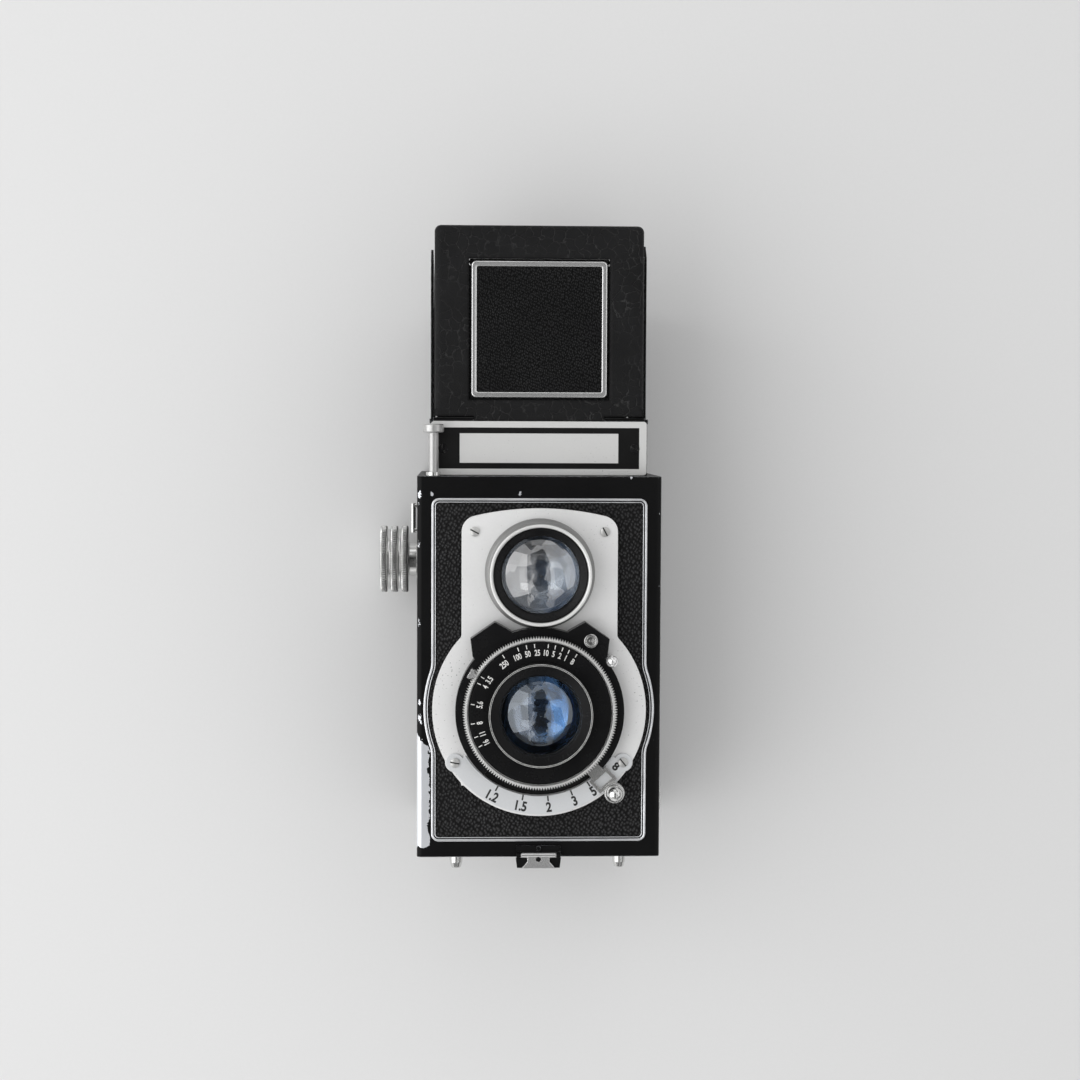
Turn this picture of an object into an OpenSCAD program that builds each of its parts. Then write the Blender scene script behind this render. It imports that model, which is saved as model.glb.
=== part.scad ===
// Twin lens reflex camera for 120 film, hood open.
// X points right seen from the front, the front faces -Y, Z points up.
// The origin is on the axis of the tripod bush, level with the underside of the base tray.

/* [Body] */
// Width of the body
body_w = 75; // [72:0.5:82]
// Depth of the body from front face to back face
body_d = 74; // [73:0.5:80]
// Height of the body without feet and hood
body_h = 117.5; // [117:0.5:124]
// Thickness of the side walls
side_wall = 2; // [1.6:0.1:2.2]
// Thickness of the front wall
front_wall = 2; // [1.6:0.1:2.4]
// Thickness of the top wall
top_wall = 2.6; // [2.4:0.1:3.2]
// Radius of the upright outer edges
edge_r = 1.5; // [0.5:0.1:1.8]
// Thickness of every leather covering
leather = 0.5; // [0.3:0.1:0.6]
// Margin between the side leather and the edges of the side wall
side_margin = 3; // [2:0.5:5]

/* [Fits] */
// Gap at the joints of parts that come apart, such as the door
part_gap = 0.2; // [0.1:0.05:0.3]
// Radial running clearance of a pin or shaft in its hole
run_gap = 0.05; // [0.02:0.01:0.1]
// Gap between faces that slide or swing past each other
slide_gap = 0.3; // [0.2:0.05:0.4]

/* [Front trim] */
// Width of the trim frame
trim_w = 66.2; // [64:0.2:67]
// Height of the trim frame's lower edge
trim_z = 4.9; // [4.6:0.1:6]
// Distance of the trim frame's upper edge from the body's top
trim_drop = 6.7; // [5:0.1:8]
// Width of the bead
trim_bead = 1.6; // [1:0.1:1.8]
// Thickness of the bead
trim_rise = 0.8; // [0.6:0.1:0.8]
// Outer corner radius of the frame
trim_corner_r = 2.4; // [2:0.1:4]
// Radius of the bulge round the shutter
bulge_r = 35.5; // [35.2:0.1:36.5]
// Radius that blends the bulge into the straight sides
bulge_blend_r = 9; // [4:0.5:12]

/* [Front plate] */
// Height of the taking lens axis
taking_z = 46; // [45:0.5:47]
// Distance between the two lens axes
lens_pitch = 42; // [41:0.5:43]
// Thickness of the plate
plate_t = 2; // [1.6:0.1:2.4]
// Gap between the trim and the plate when focused at infinity
plate_gap = 0.3; // [0.2:0.1:0.6]
// Width of the plate's upper part
plate_w = 47.7; // [46:0.1:49]
// Rise of the arched top over the viewing lens axis
arch_rise = 19.8; // [19:0.1:21]
// Radius of the arched top
arch_r = 86.8; // [70:1:110]
// Radius of the plate's upper corners
plate_corner_r = 5; // [3:0.5:7]
// Radius of the round lower part
lobe_r = 32.75; // [32.4:0.05:33.2]
// Radius of the hollow where the upper part meets the round part
plate_blend_r = 2; // [1:0.5:4]
// Radius of the two ears under the scale screws
ear_r = 3; // [2.6:0.1:3.2]
// Radius at which the scale screws sit
scale_screw_r = 30.4; // [30:0.1:30.8]
// Angle of the scale screws below the horizontal
scale_screw_angle = 32; // [30:1:34]
// Distance of the top screws from the middle
top_screw_x = 19.9; // [19:0.1:20.5]
// Height of the top screws over the viewing lens axis
top_screw_rise = 12.7; // [12:0.1:14]
// Radius of a screw head
screw_r = 1.5; // [1.2:0.1:1.8]
// Height of a screw head
screw_h = 0.8; // [0.6:0.1:1]
// Width of a screw slot
screw_slot = 0.4; // [0.3:0.05:0.6]

/* [Focusing] */
// Travel of the lens board
focus_travel = 5; // [3:0.5:6]
// Turn of the focus lever over that travel
focus_turn = 78; // [60:1:80]
// Angle of the focus lever at infinity
focus_angle = -47.5; // [-50:0.5:-46]
// Inner radius of the slot that the lever passes through
slot_r = 23.6; // [23.5:0.1:23.8]
// Radial width of the slot
slot_w = 2.8; // [2.6:0.1:3]
// Thickness of the lever
lever_t = 1; // [0.8:0.1:1.4]
// Width of the lever
lever_w = 4.4; // [3.4:0.2:5]
// Width of the index frame across the lever
index_w = 7; // [6:0.2:8]
// Length of the index frame along the lever
index_l = 5; // [4:0.2:5.4]
// Radius of the index frame's middle
index_r = 29; // [28.5:0.1:29.4]
// Width of the index frame's rim
index_rim = 1.1; // [0.8:0.1:1.4]
// Radius at which the lever's knob sits
knob_r = 34; // [33.6:0.1:35]
// Radius of the knob's knurled nut
nut_r = 3.2; // [2.8:0.1:3.4]
// Height of the knurled nut
nut_h = 2.2; // [1.8:0.1:3]
// Radius of the knob's ball
ball_r = 2.4; // [2:0.1:2.6]
// Height of the ball's centre over the nut
ball_rise = 1.4; // [1:0.1:2]
// Number of teeth on the knurled nut
nut_teeth = 24; // [16:2:40]
// Thickness of the focus scale plate
scale_t = 0.6; // [0.4:0.1:0.8]
// Width of the focus scale
scale_w = 5.6; // [5:0.1:5.8]
// Radius of the helicoid tube behind the plate
tube_r = 16.4; // [16:0.1:17]
// Wall of the helicoid tube
tube_wall = 2.6; // [1.4:0.1:2.8]
// Length of the helicoid tube behind the plate's face
tube_l = 11; // [10.5:0.1:11.4]
// Outer radius of the turning focus ring
focus_ring_r = 27; // [26.6:0.1:27.4]
// Wall of the fixed helicoid mount
mount_wall = 1.6; // [1.2:0.1:1.6]
// Length of the fixed helicoid mount
mount_l = 5.8; // [5:0.1:6.4]
// Width of the pin that passes through the slot
focus_pin_w = 2.4; // [2:0.1:2.8]
// Angle that the slot runs on past the lever at both ends
slot_margin = 6; // [5.5:0.5:8]

/* [Viewing lens] */
// Radius of the barrel's base flange
view_base_r = 16.8; // [16.6:0.1:17.4]
// Height of the base flange
view_base_h = 2; // [1.2:0.1:2.6]
// Radius of the push-on rim
view_rim_r = 15.5; // [15.2:0.1:16]
// Length of the barrel in front of the plate
view_l = 10; // [9:0.2:12]
// Outer radius of the tube behind the plate
view_tube_r = 12.9; // [12.6:0.1:12.9]
// Wall of the tube behind the plate
view_tube_wall = 1; // [0.8:0.1:1.1]
// Thickness of the barrel's floor in front of the plate
view_floor = 1.5; // [1:0.1:2]
// Inner radius of the barrel
view_bore_r = 14.3; // [14.1:0.1:14.5]
// Radius of the viewing glass
view_glass_r = 11.7; // [11:0.1:12]
// Radius of curvature of the viewing glass
view_curve_r = 24; // [20:1:32]
// Thickness of the ring that holds the viewing glass
view_ring_t = 3; // [2.4:0.2:3.4]
// Depth of that ring behind the rim
view_ring_in = 1; // [0.6:0.1:1.4]
// Slope of that ring's face towards the glass
view_ring_slope = 1; // [0.4:0.1:1.4]
// Thickness of the viewing glass at its edge
view_glass_edge = 2.4; // [2:0.1:3]
// Length of the glass's edge that the ring holds
view_glass_hold = 0.4; // [0.2:0.1:0.6]
// Length of the tube behind the plate's face
view_tube_l = 9; // [8:0.2:10]

/* [Shutter] */
// Radius of the shutter housing
housing_r = 25.7; // [25.4:0.1:26]
// Height of the shutter housing
housing_h = 5; // [4.6:0.1:5.4]
// Reach of the housing's two ears from the axis
ear_reach = 30.4; // [29.6:0.1:30.6]
// Width of an ear's outer edge
ear_tip_w = 9; // [7:0.2:10]
// Width of an ear at its foot
ear_foot_w = 14; // [12:0.2:15]
// Setback of an ear's inner shoulder
ear_back_in = 0.5; // [0.2:0.1:1]
// Radius of the hub that carries the rings
hub_r = 17.5; // [17.2:0.1:17.8]
// Thickness of the aperture lever
aperture_t = 0.6; // [0.5:0.1:0.8]
// Turn of the aperture lever from open to closed
aperture_turn = 58; // [50:1:60]
// Angle of the aperture pointer when open
aperture_angle = 150; // [148:1:152]
// Width of the aperture lever
aperture_w = 3; // [2:0.1:3.4]
// Radial width of the aperture lever's ring
aperture_ring = 2.4; // [1.6:0.1:3]
// Thickness of the aperture lever's upturned tab
aperture_tab = 1; // [0.8:0.1:1.4]
// Reach of the pointer over the speed ring
pointer_l = 1.2; // [0.6:0.1:1.6]
// Width of the pointer's tip
pointer_tip = 0.5; // [0.3:0.1:0.8]
// Radius of the knurled speed ring
speed_r = 23.5; // [23:0.1:23.6]
// Radial thickness of the speed ring's rim
speed_rim = 1.5; // [1.2:0.1:1.8]
// Height of the speed ring's rim
speed_h = 2.1; // [1.9:0.1:2.6]
// Thickness of the speed ring's inner flange
speed_flange = 0.6; // [0.5:0.1:0.8]
// Number of teeth on the speed ring
speed_teeth = 90; // [48:2:140]
// Thickness of the dial plate
dial_t = 1; // [0.8:0.1:1.2]
// Bevel on the dial's edge
dial_bevel = 0.4; // [0.2:0.1:0.6]
// Outer radius of the taking lens ring
taking_r = 15.8; // [15.5:0.1:16]
// Front of the taking lens ring, measured from the plate's face
taking_l = 13.5; // [12.5:0.2:15]
// Radius of the taking glass
taking_glass_r = 11.8; // [11:0.1:12]
// Radius of curvature of the taking glass
taking_curve_r = 22; // [18:1:30]
// Width of the taking ring's lip
taking_lip = 0.6; // [0.4:0.1:0.8]
// Depth of the bare name ring behind the lip
name_ring_in = 0.5; // [0.3:0.1:0.8]
// Slope of the name ring towards the glass
name_ring_slope = 0.9; // [0.5:0.1:1.2]
// Depth of the taking glass's edge behind the lip
taking_glass_in = 4; // [3.6:0.1:5]
// Thickness of the taking glass at its edge
taking_glass_edge = 2; // [1.6:0.1:2.6]
// Radius of curvature of the rear glass
rear_curve_r = 44; // [36:1:60]
// Thickness of the rear glass at its edge
rear_glass_edge = 2; // [1.6:0.1:2.6]
// Depth of the rear glass behind the plate's face
rear_glass_in = 3; // [2:0.1:4]
// Radius at which the cocking lever's ball sits
cock_r = 26.9; // [26.8:0.1:27.6]
// Angle of the cocking lever at rest
cock_angle = 36; // [34:0.5:36.5]
// Turn of the cocking lever
cock_turn = 30; // [20:1:34]
// Radius of the cocking ball
cock_ball_r = 1.85; // [1.5:0.05:2]
// Thickness of the cocking lever
cock_t = 1.4; // [1:0.1:1.5]
// Width of the cocking lever
cock_w = 3; // [2.4:0.1:3.2]
// Height of the cocking lever over the plate
cock_a = 0.6; // [0.4:0.1:0.8]
// Radial width of the cocking lever's ring
cock_ring_w = 2.4; // [1.8:0.1:2.8]
// Radius of the post under the cocking ball
cock_pin_r = 0.8; // [0.6:0.1:1]
// Number of shutter blades
blade_count = 5; // [3:1:7]
// Thickness of a shutter blade
blade_t = 0.3; // [0.2:0.05:0.4]
// Radius of the shutter blades' circle
blade_r = 15.7; // [15.4:0.1:15.8]
// Radius of the point where the blades meet
blade_eye = 0.05; // [0.03:0.01:0.1]
// Angle left between two blades
blade_angle = 0.4; // [0.2:0.1:1]
// Thickness of the housing's floor over the blades
housing_floor = 1; // [0.8:0.1:1.4]
// Radius of the flash socket
socket_r = 2.2; // [1.8:0.1:2.4]
// Height of the flash socket
socket_h = 2; // [1.4:0.1:3]
// Radius of the flash socket's bore
socket_bore_r = 1.2; // [1:0.1:1.4]
// Radius of the flash socket's contact
socket_pin_r = 0.5; // [0.3:0.1:0.6]
// Depth of the contact behind the socket's rim
socket_pin_in = 0.4; // [0.2:0.1:0.8]
// Thickness of the socket's floor
socket_floor = 0.6; // [0.4:0.1:0.8]
// Distance of the flash socket from the taking axis
socket_reach = 26.7; // [26.4:0.1:27]
// Angle of the flash socket
socket_angle = 55; // [54:0.5:56]

/* [Release] */
// Distance of the release rod's axis from the body's left side
release_side = 5; // [4.5:0.1:5.5]
// Distance of the release rod behind the front face
release_in = 2.8; // [2.6:0.1:3]
// Radius of the release rod
release_r = 1.5; // [1.2:0.1:1.6]
// Radius of the release head
release_head_r = 3.2; // [2.8:0.1:3.4]
// Height of the release head
release_head_h = 2.6; // [2:0.1:3]
// Height of the release head's top over the body
release_h = 15.9; // [14:0.1:17]
// Travel of the release
release_travel = 4; // [2:0.5:5]
// Length of the rod below the top wall
release_tail = 9; // [8:0.5:12]
// Radius of the release bush
release_bush_r = 2.3; // [2.1:0.1:2.4]
// Height of the release bush over the body
release_bush_h = 1.2; // [0.8:0.1:1.6]

/* [Film path] */
// Side of the square film gate
gate = 55; // [54:0.2:55.2]
// Room for the pressure plate between the film and the door
pressure_room = 4.4; // [4.2:0.1:4.8]
// Thickness of the pressure plate
pressure_t = 1; // [0.8:0.1:1.4]
// Travel of the pressure plate
pressure_travel = 0.8; // [0.4:0.1:1]
// Width of the pressure plate
pressure_w = 63; // [60:0.5:64]
// Height of the pressure plate
pressure_h = 61; // [58:0.5:62]
// Distance of the guide posts from the middle
post_x = 13.8; // [10:0.2:24]
// Gap left for the film
film_gap = 0.4; // [0.3:0.05:0.6]
// Radius of the pressure plate's guide posts
post_r = 1.5; // [1.2:0.1:2]
// Thickness of the light tunnel's walls
tunnel_wall = 1.2; // [1:0.1:1.4]
// Half height of the tunnel's mouth behind the lens
tunnel_mouth = 12; // [11:0.2:12.6]
// Thickness of the gate plate
gate_plate_t = 1.5; // [1.2:0.1:2]
// Radius of the film rollers
roller_r = 1.5; // [1.3:0.1:1.6]
// Radius of the rollers' journals
journal_r = 0.8; // [0.6:0.1:0.9]
// Gap between a roller's end and the side wall, which holds its ear
roller_side_gap = 4.9; // [4.7:0.1:6.4]
// Gap between a roller and the film gate
roller_gap = 1.4; // [1.3:0.1:1.6]
// Thickness of the ears that carry the rollers
roller_ear_t = 1.4; // [1:0.1:1.6]
// Radius of a spool's flanges
spool_r = 12.6; // [12.2:0.1:12.6]
// Gap between a spool's end and the side wall
spool_side_gap = 3.5; // [3:0.1:4.5]
// Thickness of a spool's flanges
spool_flange = 1; // [0.8:0.1:1.4]
// Radius of a spool's core
core_r = 6; // [5:0.2:7]
// Radius of the key and the pins that hold the spools
key_r = 2.4; // [2:0.1:2.6]
// Depth of the bores in a spool's ends
key_depth = 6; // [5:0.2:6.4]
// Gap between the take-up spool and the film gate
take_up_gap = 2.4; // [2.2:0.1:2.6]
// Gap between the take-up spool and the door
take_up_back_gap = 3.3; // [3.2:0.1:3.8]
// Gap between the supply spool and the base tray
supply_gap = 1.4; // [1.2:0.1:1.8]
// Gap between the supply spool and the front wall
supply_front_gap = 5.4; // [5:0.2:5.8]

/* [Mirror and screen] */
// Rise of the mirror over the viewing axis
mirror_reach = 22; // [19:0.5:22]
// Least gap between the mirror's upper edge and the focusing screen
mirror_gap = 5.9; // [5.4:0.1:8]
// Width of the mirror
mirror_w = 56; // [50:1:58]
// Thickness of the mirror
mirror_t = 1.4; // [1.2:0.1:1.6]
// Thickness of the mirror's cradle
cradle_t = 1.2; // [1:0.1:1.4]
// Gap between the cradle and the take-up spool
cradle_gap = 0.8; // [0.6:0.1:1]
// Side of the focusing screen
screen = 57; // [56:0.5:58]
// Thickness of the focusing screen
screen_t = 1.6; // [1.4:0.1:1.8]
// Width of the ledge under the screen
screen_ledge = 1.5; // [1:0.1:2]

/* [Winding] */
// Radius of the winding knob
wind_r = 11.2; // [10:0.1:12]
// Width of the winding knob
wind_w = 9.2; // [8:0.2:10]
// Number of knurled rings on the knob
wind_rings = 3; // [2:1:4]
// Width of a groove between the knurled rings
wind_groove = 1.3; // [1:0.1:1.6]
// Depth of those grooves
wind_groove_depth = 1.1; // [0.8:0.1:1.6]
// Number of teeth round the knob
wind_teeth = 48; // [36:2:90]
// Depth of a knurl tooth
tooth_depth = 0.25; // [0.15:0.05:0.4]
// Gap between the knob and the bush
wind_gap = 0.4; // [0.3:0.1:0.6]
// Radius of the winding shaft
shaft_r = 4; // [3:0.1:4.4]
// Radius of the bush's plate
bush_r = 9; // [8:0.2:10]
// Thickness of the bush's plate
bush_t = 1.2; // [0.8:0.1:1.6]
// Length of the bush outside the body
bush_l = 3.6; // [3:0.1:4.4]
// Wall of the bush's neck
bush_wall = 1.6; // [1.2:0.1:2]
// Radius of a spool pin's pull knob
pull_r = 5; // [4:0.2:5.4]
// Height of a pull knob
pull_h = 1.7; // [1.4:0.1:3.6]
// Number of teeth on a pull knob
pull_teeth = 32; // [20:2:48]
// Travel of a spool pin
pull_travel = 6; // [5:0.5:7]
// Length of a strap lug
lug_l = 9.5; // [8:0.5:13]
// Radius of a strap lug's bar
lug_r = 0.8; // [0.6:0.1:1]
// Distance of a strap lug's bar from the body
lug_out = 2; // [1.9:0.1:2.6]
// Distance of the strap lugs' middle under the body's top
lug_drop = 14.5; // [9.5:0.5:21.5]
// Distance of the strap lugs behind the body's middle
lug_y = 2; // [-6:1:3]

/* [Hood] */
// Distance of the hood behind the front face
hood_in = 7.2; // [7:0.1:7.6]
// Width of the hood
hood_w = 67; // [66.4:0.2:70]
// Depth of the hood
hood_d = 64.4; // [64.2:0.2:65.4]
// Thickness of the hood base's walls
hood_wall = 1.6; // [1.4:0.1:1.8]
// Thickness of the hood base's front wall
hood_front_wall = 2; // [1.8:0.1:2.2]
// Thickness of the hood base's floor
hood_floor = 1.2; // [1:0.1:1.6]
// Height of the lid's hinge over the body
lid_hinge_h = 16.8; // [16.4:0.1:18]
// Height of the left flap's hinge over the body
flap_hinge_h = 8; // [7.6:0.1:8.4]
// Step from one flap's hinge to the next
flap_step = 1.5; // [1.4:0.1:1.6]
// Thickness of the flaps
flap_t = 0.8; // [0.6:0.1:0.9]
// Radius of the flaps' hinge knuckles
flap_knuckle_r = 1.1; // [1:0.05:1.15]
// Radius of the flaps' hinge pins
flap_pin_r = 0.55; // [0.4:0.05:0.6]
// Height of a side flap's front edge
flap_front_h = 62; // [56:0.5:62.4]
// Height of a side flap's rear edge
flap_rear_h = 47; // [40:0.5:52]
// Height of the rear flap
rear_flap_h = 46; // [40:0.5:52]
// Corner radius of the flaps
flap_corner_r = 4; // [2:0.5:6]
// Length of the hood base's knuckles at a flap's ends
knuckle_end = 8; // [5:0.5:12]
// Radius of the peep hole in the rear flap
peep_r = 4; // [3:0.2:5]
// Height of the lid over its hinge
lid_h = 60.2; // [58:0.2:60.4]
// Thickness of the lid's sheet
lid_t = 0.8; // [0.7:0.05:0.9]
// Depth of the lid's turned edges
lid_skirt = 4.8; // [4.6:0.1:5]
// Corner radius of the lid
lid_corner_r = 2; // [1.4:0.1:3]
// Gap between the lid and a standing side flap
lid_gap = 0.4; // [0.3:0.05:0.6]
// Radius of the lid's hinge knuckles
lid_knuckle_r = 1.2; // [1.1:0.05:1.25]
// Radius of the lid's hinge pin
lid_pin_r = 0.7; // [0.5:0.05:0.75]
// Half length of the lid's own knuckle
lid_knuckle_half = 20; // [14:0.5:24]
// Thickness of the name plate
name_t = 0.8; // [0.5:0.1:0.9]
// Corner radius of the name plate
name_corner_r = 1; // [0.5:0.1:2]
// Distance of the name plate's screws from the middle
name_screw_x = 29.6; // [28:0.2:30]
// Height of the name plate's screw heads
name_screw_h = 0.4; // [0.3:0.05:0.4]

/* [Finder and magnifier] */
// Side of the square opening in the lid
finder_open = 43.4; // [42:0.2:44]
// Distance of the opening from the lid's upper edge
finder_drop = 10.2; // [9.6:0.2:11]
// Gap between the finder flap and the opening
finder_gap = 0.8; // [0.5:0.1:1]
// Width of the finder's bright frame
finder_rim = 1.6; // [1.2:0.1:2]
// Thickness of the finder's bright frame
finder_rim_t = 0.7; // [0.5:0.1:0.8]
// Thickness of the finder flap
finder_t = 0.6; // [0.5:0.1:0.7]
// Width of the finder flap's lip behind the lid
finder_lip = 1.2; // [0.8:0.1:1.6]
// Radius of the finder flap's knuckle
finder_knuckle_r = 0.9; // [0.8:0.05:0.95]
// Radius of the finder flap's pin
finder_pin_r = 0.45; // [0.35:0.05:0.5]
// Width of the lugs that carry the finder flap
finder_lug = 2; // [1.5:0.1:2.6]
// Radius of the magnifier lens
magnifier_r = 11; // [9:0.5:12]
// Radius of curvature of the magnifier lens
magnifier_curve_r = 60; // [52:1:90]
// Width of the magnifier's rim
magnifier_rim = 2; // [1.6:0.1:2.4]
// Thickness of the magnifier's arm
magnifier_t = 1; // [0.8:0.1:1.1]
// Drop of the magnifier's hinge under the finder flap's hinge
magnifier_drop = 4.4; // [4:0.1:5]
// Width of the magnifier's hinge
magnifier_hinge_w = 16; // [12:0.5:20]
// Width of the lugs that carry the magnifier
magnifier_lug = 1; // [0.8:0.1:1.4]
// Distance from the magnifier's hinge to the lens
magnifier_arm_l = 17; // [15:0.5:19]

/* [Door] */
// Height of the base tray's side flanges
tray_h = 5; // [4:0.1:5.4]
// Depth of the back's side flanges
flange_d = 5; // [4.8:0.1:5.2]
// Thickness of the door's sheet
door_sheet = 1.6; // [1.4:0.1:1.8]
// Radius of the door's hinge barrel
barrel_r = 1.6; // [1.4:0.05:1.6]
// Radius of the door's hinge pin
door_pin_r = 0.8; // [0.6:0.05:0.9]
// Height of a foot
foot_h = 4.5; // [3.5:0.1:5]
// Radius of a foot at its root
foot_r = 2.15; // [1.8:0.05:2.6]
// Radius of a foot's flat end
foot_tip_r = 1.2; // [1:0.05:1.5]
// Radius of a foot where its end begins to round
foot_waist_r = 1.95; // [1.7:0.05:2.1]
// Length of a foot down to that place
foot_waist_h = 2.7; // [2:0.1:3]
// Bevel on a foot's end
foot_bevel = 0.3; // [0.2:0.05:0.4]
// Distance of the feet from the middle
foot_x = 25.4; // [22:0.2:27]
// Distance of the feet from the front and back faces
foot_in = 6; // [5.8:0.2:9]
// Radius of the tripod bush's thread at its minor diameter
tripod_r = 4; // [3:0.1:4.2]
// Radius of the bush below its flange
tripod_boss_r = 6.8; // [6:0.1:7.4]
// Radius of the flange that is riveted to the tray
tripod_flange_r = 9.4; // [8:0.1:11]
// Thickness of that flange
tripod_flange_t = 1.2; // [0.8:0.1:1.6]
// Height of the bush under the tray
tripod_h = 4.2; // [3.4:0.1:4.3]

/* [Latch] */
// Width of the latch bracket
latch_w = 13.6; // [12:0.2:15]
// Height of the latch bracket
latch_h = 3.6; // [3.2:0.1:4]
// Thickness of the bracket and its ears
latch_t = 0.6; // [0.5:0.05:0.8]
// Thickness of one ear
latch_ear = 1.3; // [1:0.1:1.5]
// Radius of the latch rod
latch_rod_r = 0.7; // [0.6:0.05:0.75]
// Radius of the latch rod's ends
latch_pin_r = 0.4; // [0.3:0.05:0.45]
// Distance of the rod in front of the body
latch_rod_out = 1.4; // [1.3:0.1:1.6]
// Height of the rod
latch_rod_z = 0.8; // [0.7:0.05:1]
// Reach of the latch tongue below the rod
latch_drop = 4.1; // [3.6:0.1:4.3]
// Width of the tongue at the rod
latch_neck_w = 6.8; // [6:0.1:7.4]
// Width of the tongue's lower edge
latch_foot_w = 10.4; // [9:0.1:11]
// Thickness of the tongue
latch_plate_t = 0.8; // [0.6:0.1:0.9]
// Radius of the hole in the tongue
latch_hole_r = 0.95; // [0.7:0.05:1.1]
// Reach of the hook under the door
latch_bite = 0.8; // [0.4:0.1:1]
// Room between the hook and the door
latch_room = 0.3; // [0.2:0.05:0.6]

/* [Hidden] */
$fn = 96;
// Overlap of a cutting shape past the surface that it cuts
over = 1;
// A length beyond every part of the camera
far = 300;
// Straight steps in a hollow blend
blend_steps = 10;
// Overlap of a blend with the lines that it runs into
weld = 0.02;
// Steps round a lens face
sphere_steps = 360;

// Body faces
front_y = -body_d / 2;
back_y = body_d / 2;
inner_x = body_w / 2 - side_wall;
side_end_y = back_y - flange_d - part_gap;
tray_front_y = front_y + front_wall + part_gap;
release_x = body_w / 2 - release_side;
trim_h = body_h - trim_z - trim_drop;

// Door hinge
hinge_y = back_y - barrel_r - part_gap;
hinge_z = body_h - barrel_r - part_gap;
barrel_half = inner_x - side_wall;
door_top = hinge_z - barrel_r - slide_gap;

// Lens board
view_z = taking_z + lens_pitch;
plate_back_y = front_y - trim_rise - plate_gap;
plate_y = plate_back_y - plate_t;
plate_top = view_z + arch_rise;
slot_end = focus_angle - focus_turn;
scale_r = slot_r + slot_w + run_gap;
wall_hole_r = focus_ring_r + slide_gap;
view_hole_r = view_tube_r + slide_gap;
lever_a = scale_t + slide_gap;

// Shutter levels, measured from the plate's face
aperture_a = housing_h + slide_gap / 2;
speed_a = aperture_a + aperture_t + slide_gap / 2;
dial_a = speed_a + speed_flange + slide_gap / 2;
neck_r = taking_r - part_gap;
hub_bore_r = neck_r + run_gap;
rim_a = dial_a + dial_t + slide_gap;
pointer_a = speed_a + speed_h + slide_gap;
cock_ring_r = hub_r + slide_gap;
blade_room = blade_t + 2 * run_gap;

// Film path
film_y = back_y - door_sheet - pressure_room;
take_up_y = back_y - door_sheet - spool_r - take_up_back_gap;
take_up_z = taking_z + gate / 2 + spool_r + take_up_gap;
supply_y = front_y + front_wall + spool_r + supply_front_gap;
supply_z = door_sheet + spool_r + supply_gap;
roller_y = film_y - roller_r - run_gap * 4;
roller_off = gate / 2 + roller_gap + roller_r;
roller_half = inner_x - roller_side_gap;
spool_l = 2 * (inner_x - spool_side_gap);
tunnel_front_y = front_y + tube_l;

// Mirror and screen
mirror_rise = min(mirror_reach, body_h - screen_t - mirror_gap - view_z);
mirror_y = take_up_y - (take_up_z - view_z)
  - sqrt(2) * (spool_r + cradle_t + mirror_t + cradle_gap);

// Hood
hood_y = front_y + hood_in;
hood_back_y = hood_y + hood_d;
lid_y = hood_y + lid_knuckle_r + part_gap;
lid_z = body_h + lid_hinge_h;
lid_half = hood_w / 2 - flap_t - lid_gap;
lid_foot = lid_skirt - (lid_y - hood_y);
lid_top = lid_z + lid_h;
flap_front_y = hood_y + lid_skirt + slide_gap;
flap_back_y = hood_back_y - 2 * flap_knuckle_r - slide_gap;
left_z = body_h + flap_hinge_h;
right_z = left_z + flap_step;
rear_z = right_z + flap_step;
flap_axis_x = hood_w / 2 - flap_knuckle_r;
rear_axis_y = hood_back_y - flap_knuckle_r;

// Finder flap and magnifier
finder_side = finder_open - 2 * finder_gap;
finder_top = lid_top - finder_drop;
finder_mid = finder_top - finder_open / 2;
finder_z = finder_top - finder_knuckle_r - run_gap;
finder_back_y = hood_y + finder_rim_t + finder_t;
finder_y = finder_back_y + finder_knuckle_r - finder_t / 2;
finder_lip_half = finder_open / 2 + finder_lip;
finder_lip_z = finder_mid - finder_lip_half;
finder_lip_h = finder_z - finder_knuckle_r - part_gap - finder_lip_z;
magnifier_z = finder_z - magnifier_drop;
magnifier_y = finder_back_y + finder_knuckle_r + part_gap;

// Winding
bush_out_x = -body_w / 2 - bush_l;
wind_in_x = bush_out_x - wind_gap;
shaft_in_x = -spool_l / 2 - 1;

// Latch
latch_y = front_y - latch_rod_out;
latch_hook_z = -latch_room;

// Turns a shape drawn in x and z so that it rises towards the front from the depth y
module facing(y, z = 0) {
  translate([0, y, z]) rotate([90, 0, 0]) children();
}

// Turns a shape's upright axis to +X from the place x
module sideways(x, y, z) {
  translate([x, y, z]) rotate([0, 90, 0]) children();
}

// A rectangle with round corners about the origin
module rounded_rect(w, h, r) {
  square([w - 2 * r, h], center = true);
  square([w, h - 2 * r], center = true);
  for (x = [-1, 1], y = [-1, 1])
    translate([x * (w / 2 - r), y * (h / 2 - r)]) circle(r);
}

// A wedge from angle a0 to a1, larger than what it cuts
module wedge(a0, a1) {
  steps = ceil((a1 - a0) / 40);
  polygon(concat([[0, 0]], [for (i = [0:steps])
    let (a = a0 + (a1 - a0) * i / steps) far * [cos(a), sin(a)]]));
}

// A flat band of a ring
module band(r0, r1, a0, a1) {
  intersection() {
    difference() {
      circle(r1);
      circle(r0);
    }
    wedge(a0, a1);
  }
}

// A flat ring
module washer(r0, r1, h) {
  linear_extrude(h) difference() {
    circle(r1);
    circle(r0);
  }
}

// The outline of a knurled wheel
module knurl(r, teeth, depth) {
  polygon([for (i = [0:2 * teeth - 1])
    (r - depth * (i % 2)) * [cos(180 * i / teeth), sin(180 * i / teeth)]]);
}

// The trim frame's outline, drawn inwards by an inset
module trim_outline(inset) {
  hw = trim_w / 2 - inset;
  translate([0, trim_z + trim_h / 2])
    rounded_rect(2 * hw, trim_h - 2 * inset, trim_corner_r - inset);
  translate([0, taking_z]) {
    circle(bulge_r - inset);
    bulge_fill(hw, bulge_r - inset, bulge_blend_r + inset);
  }
}

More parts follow.
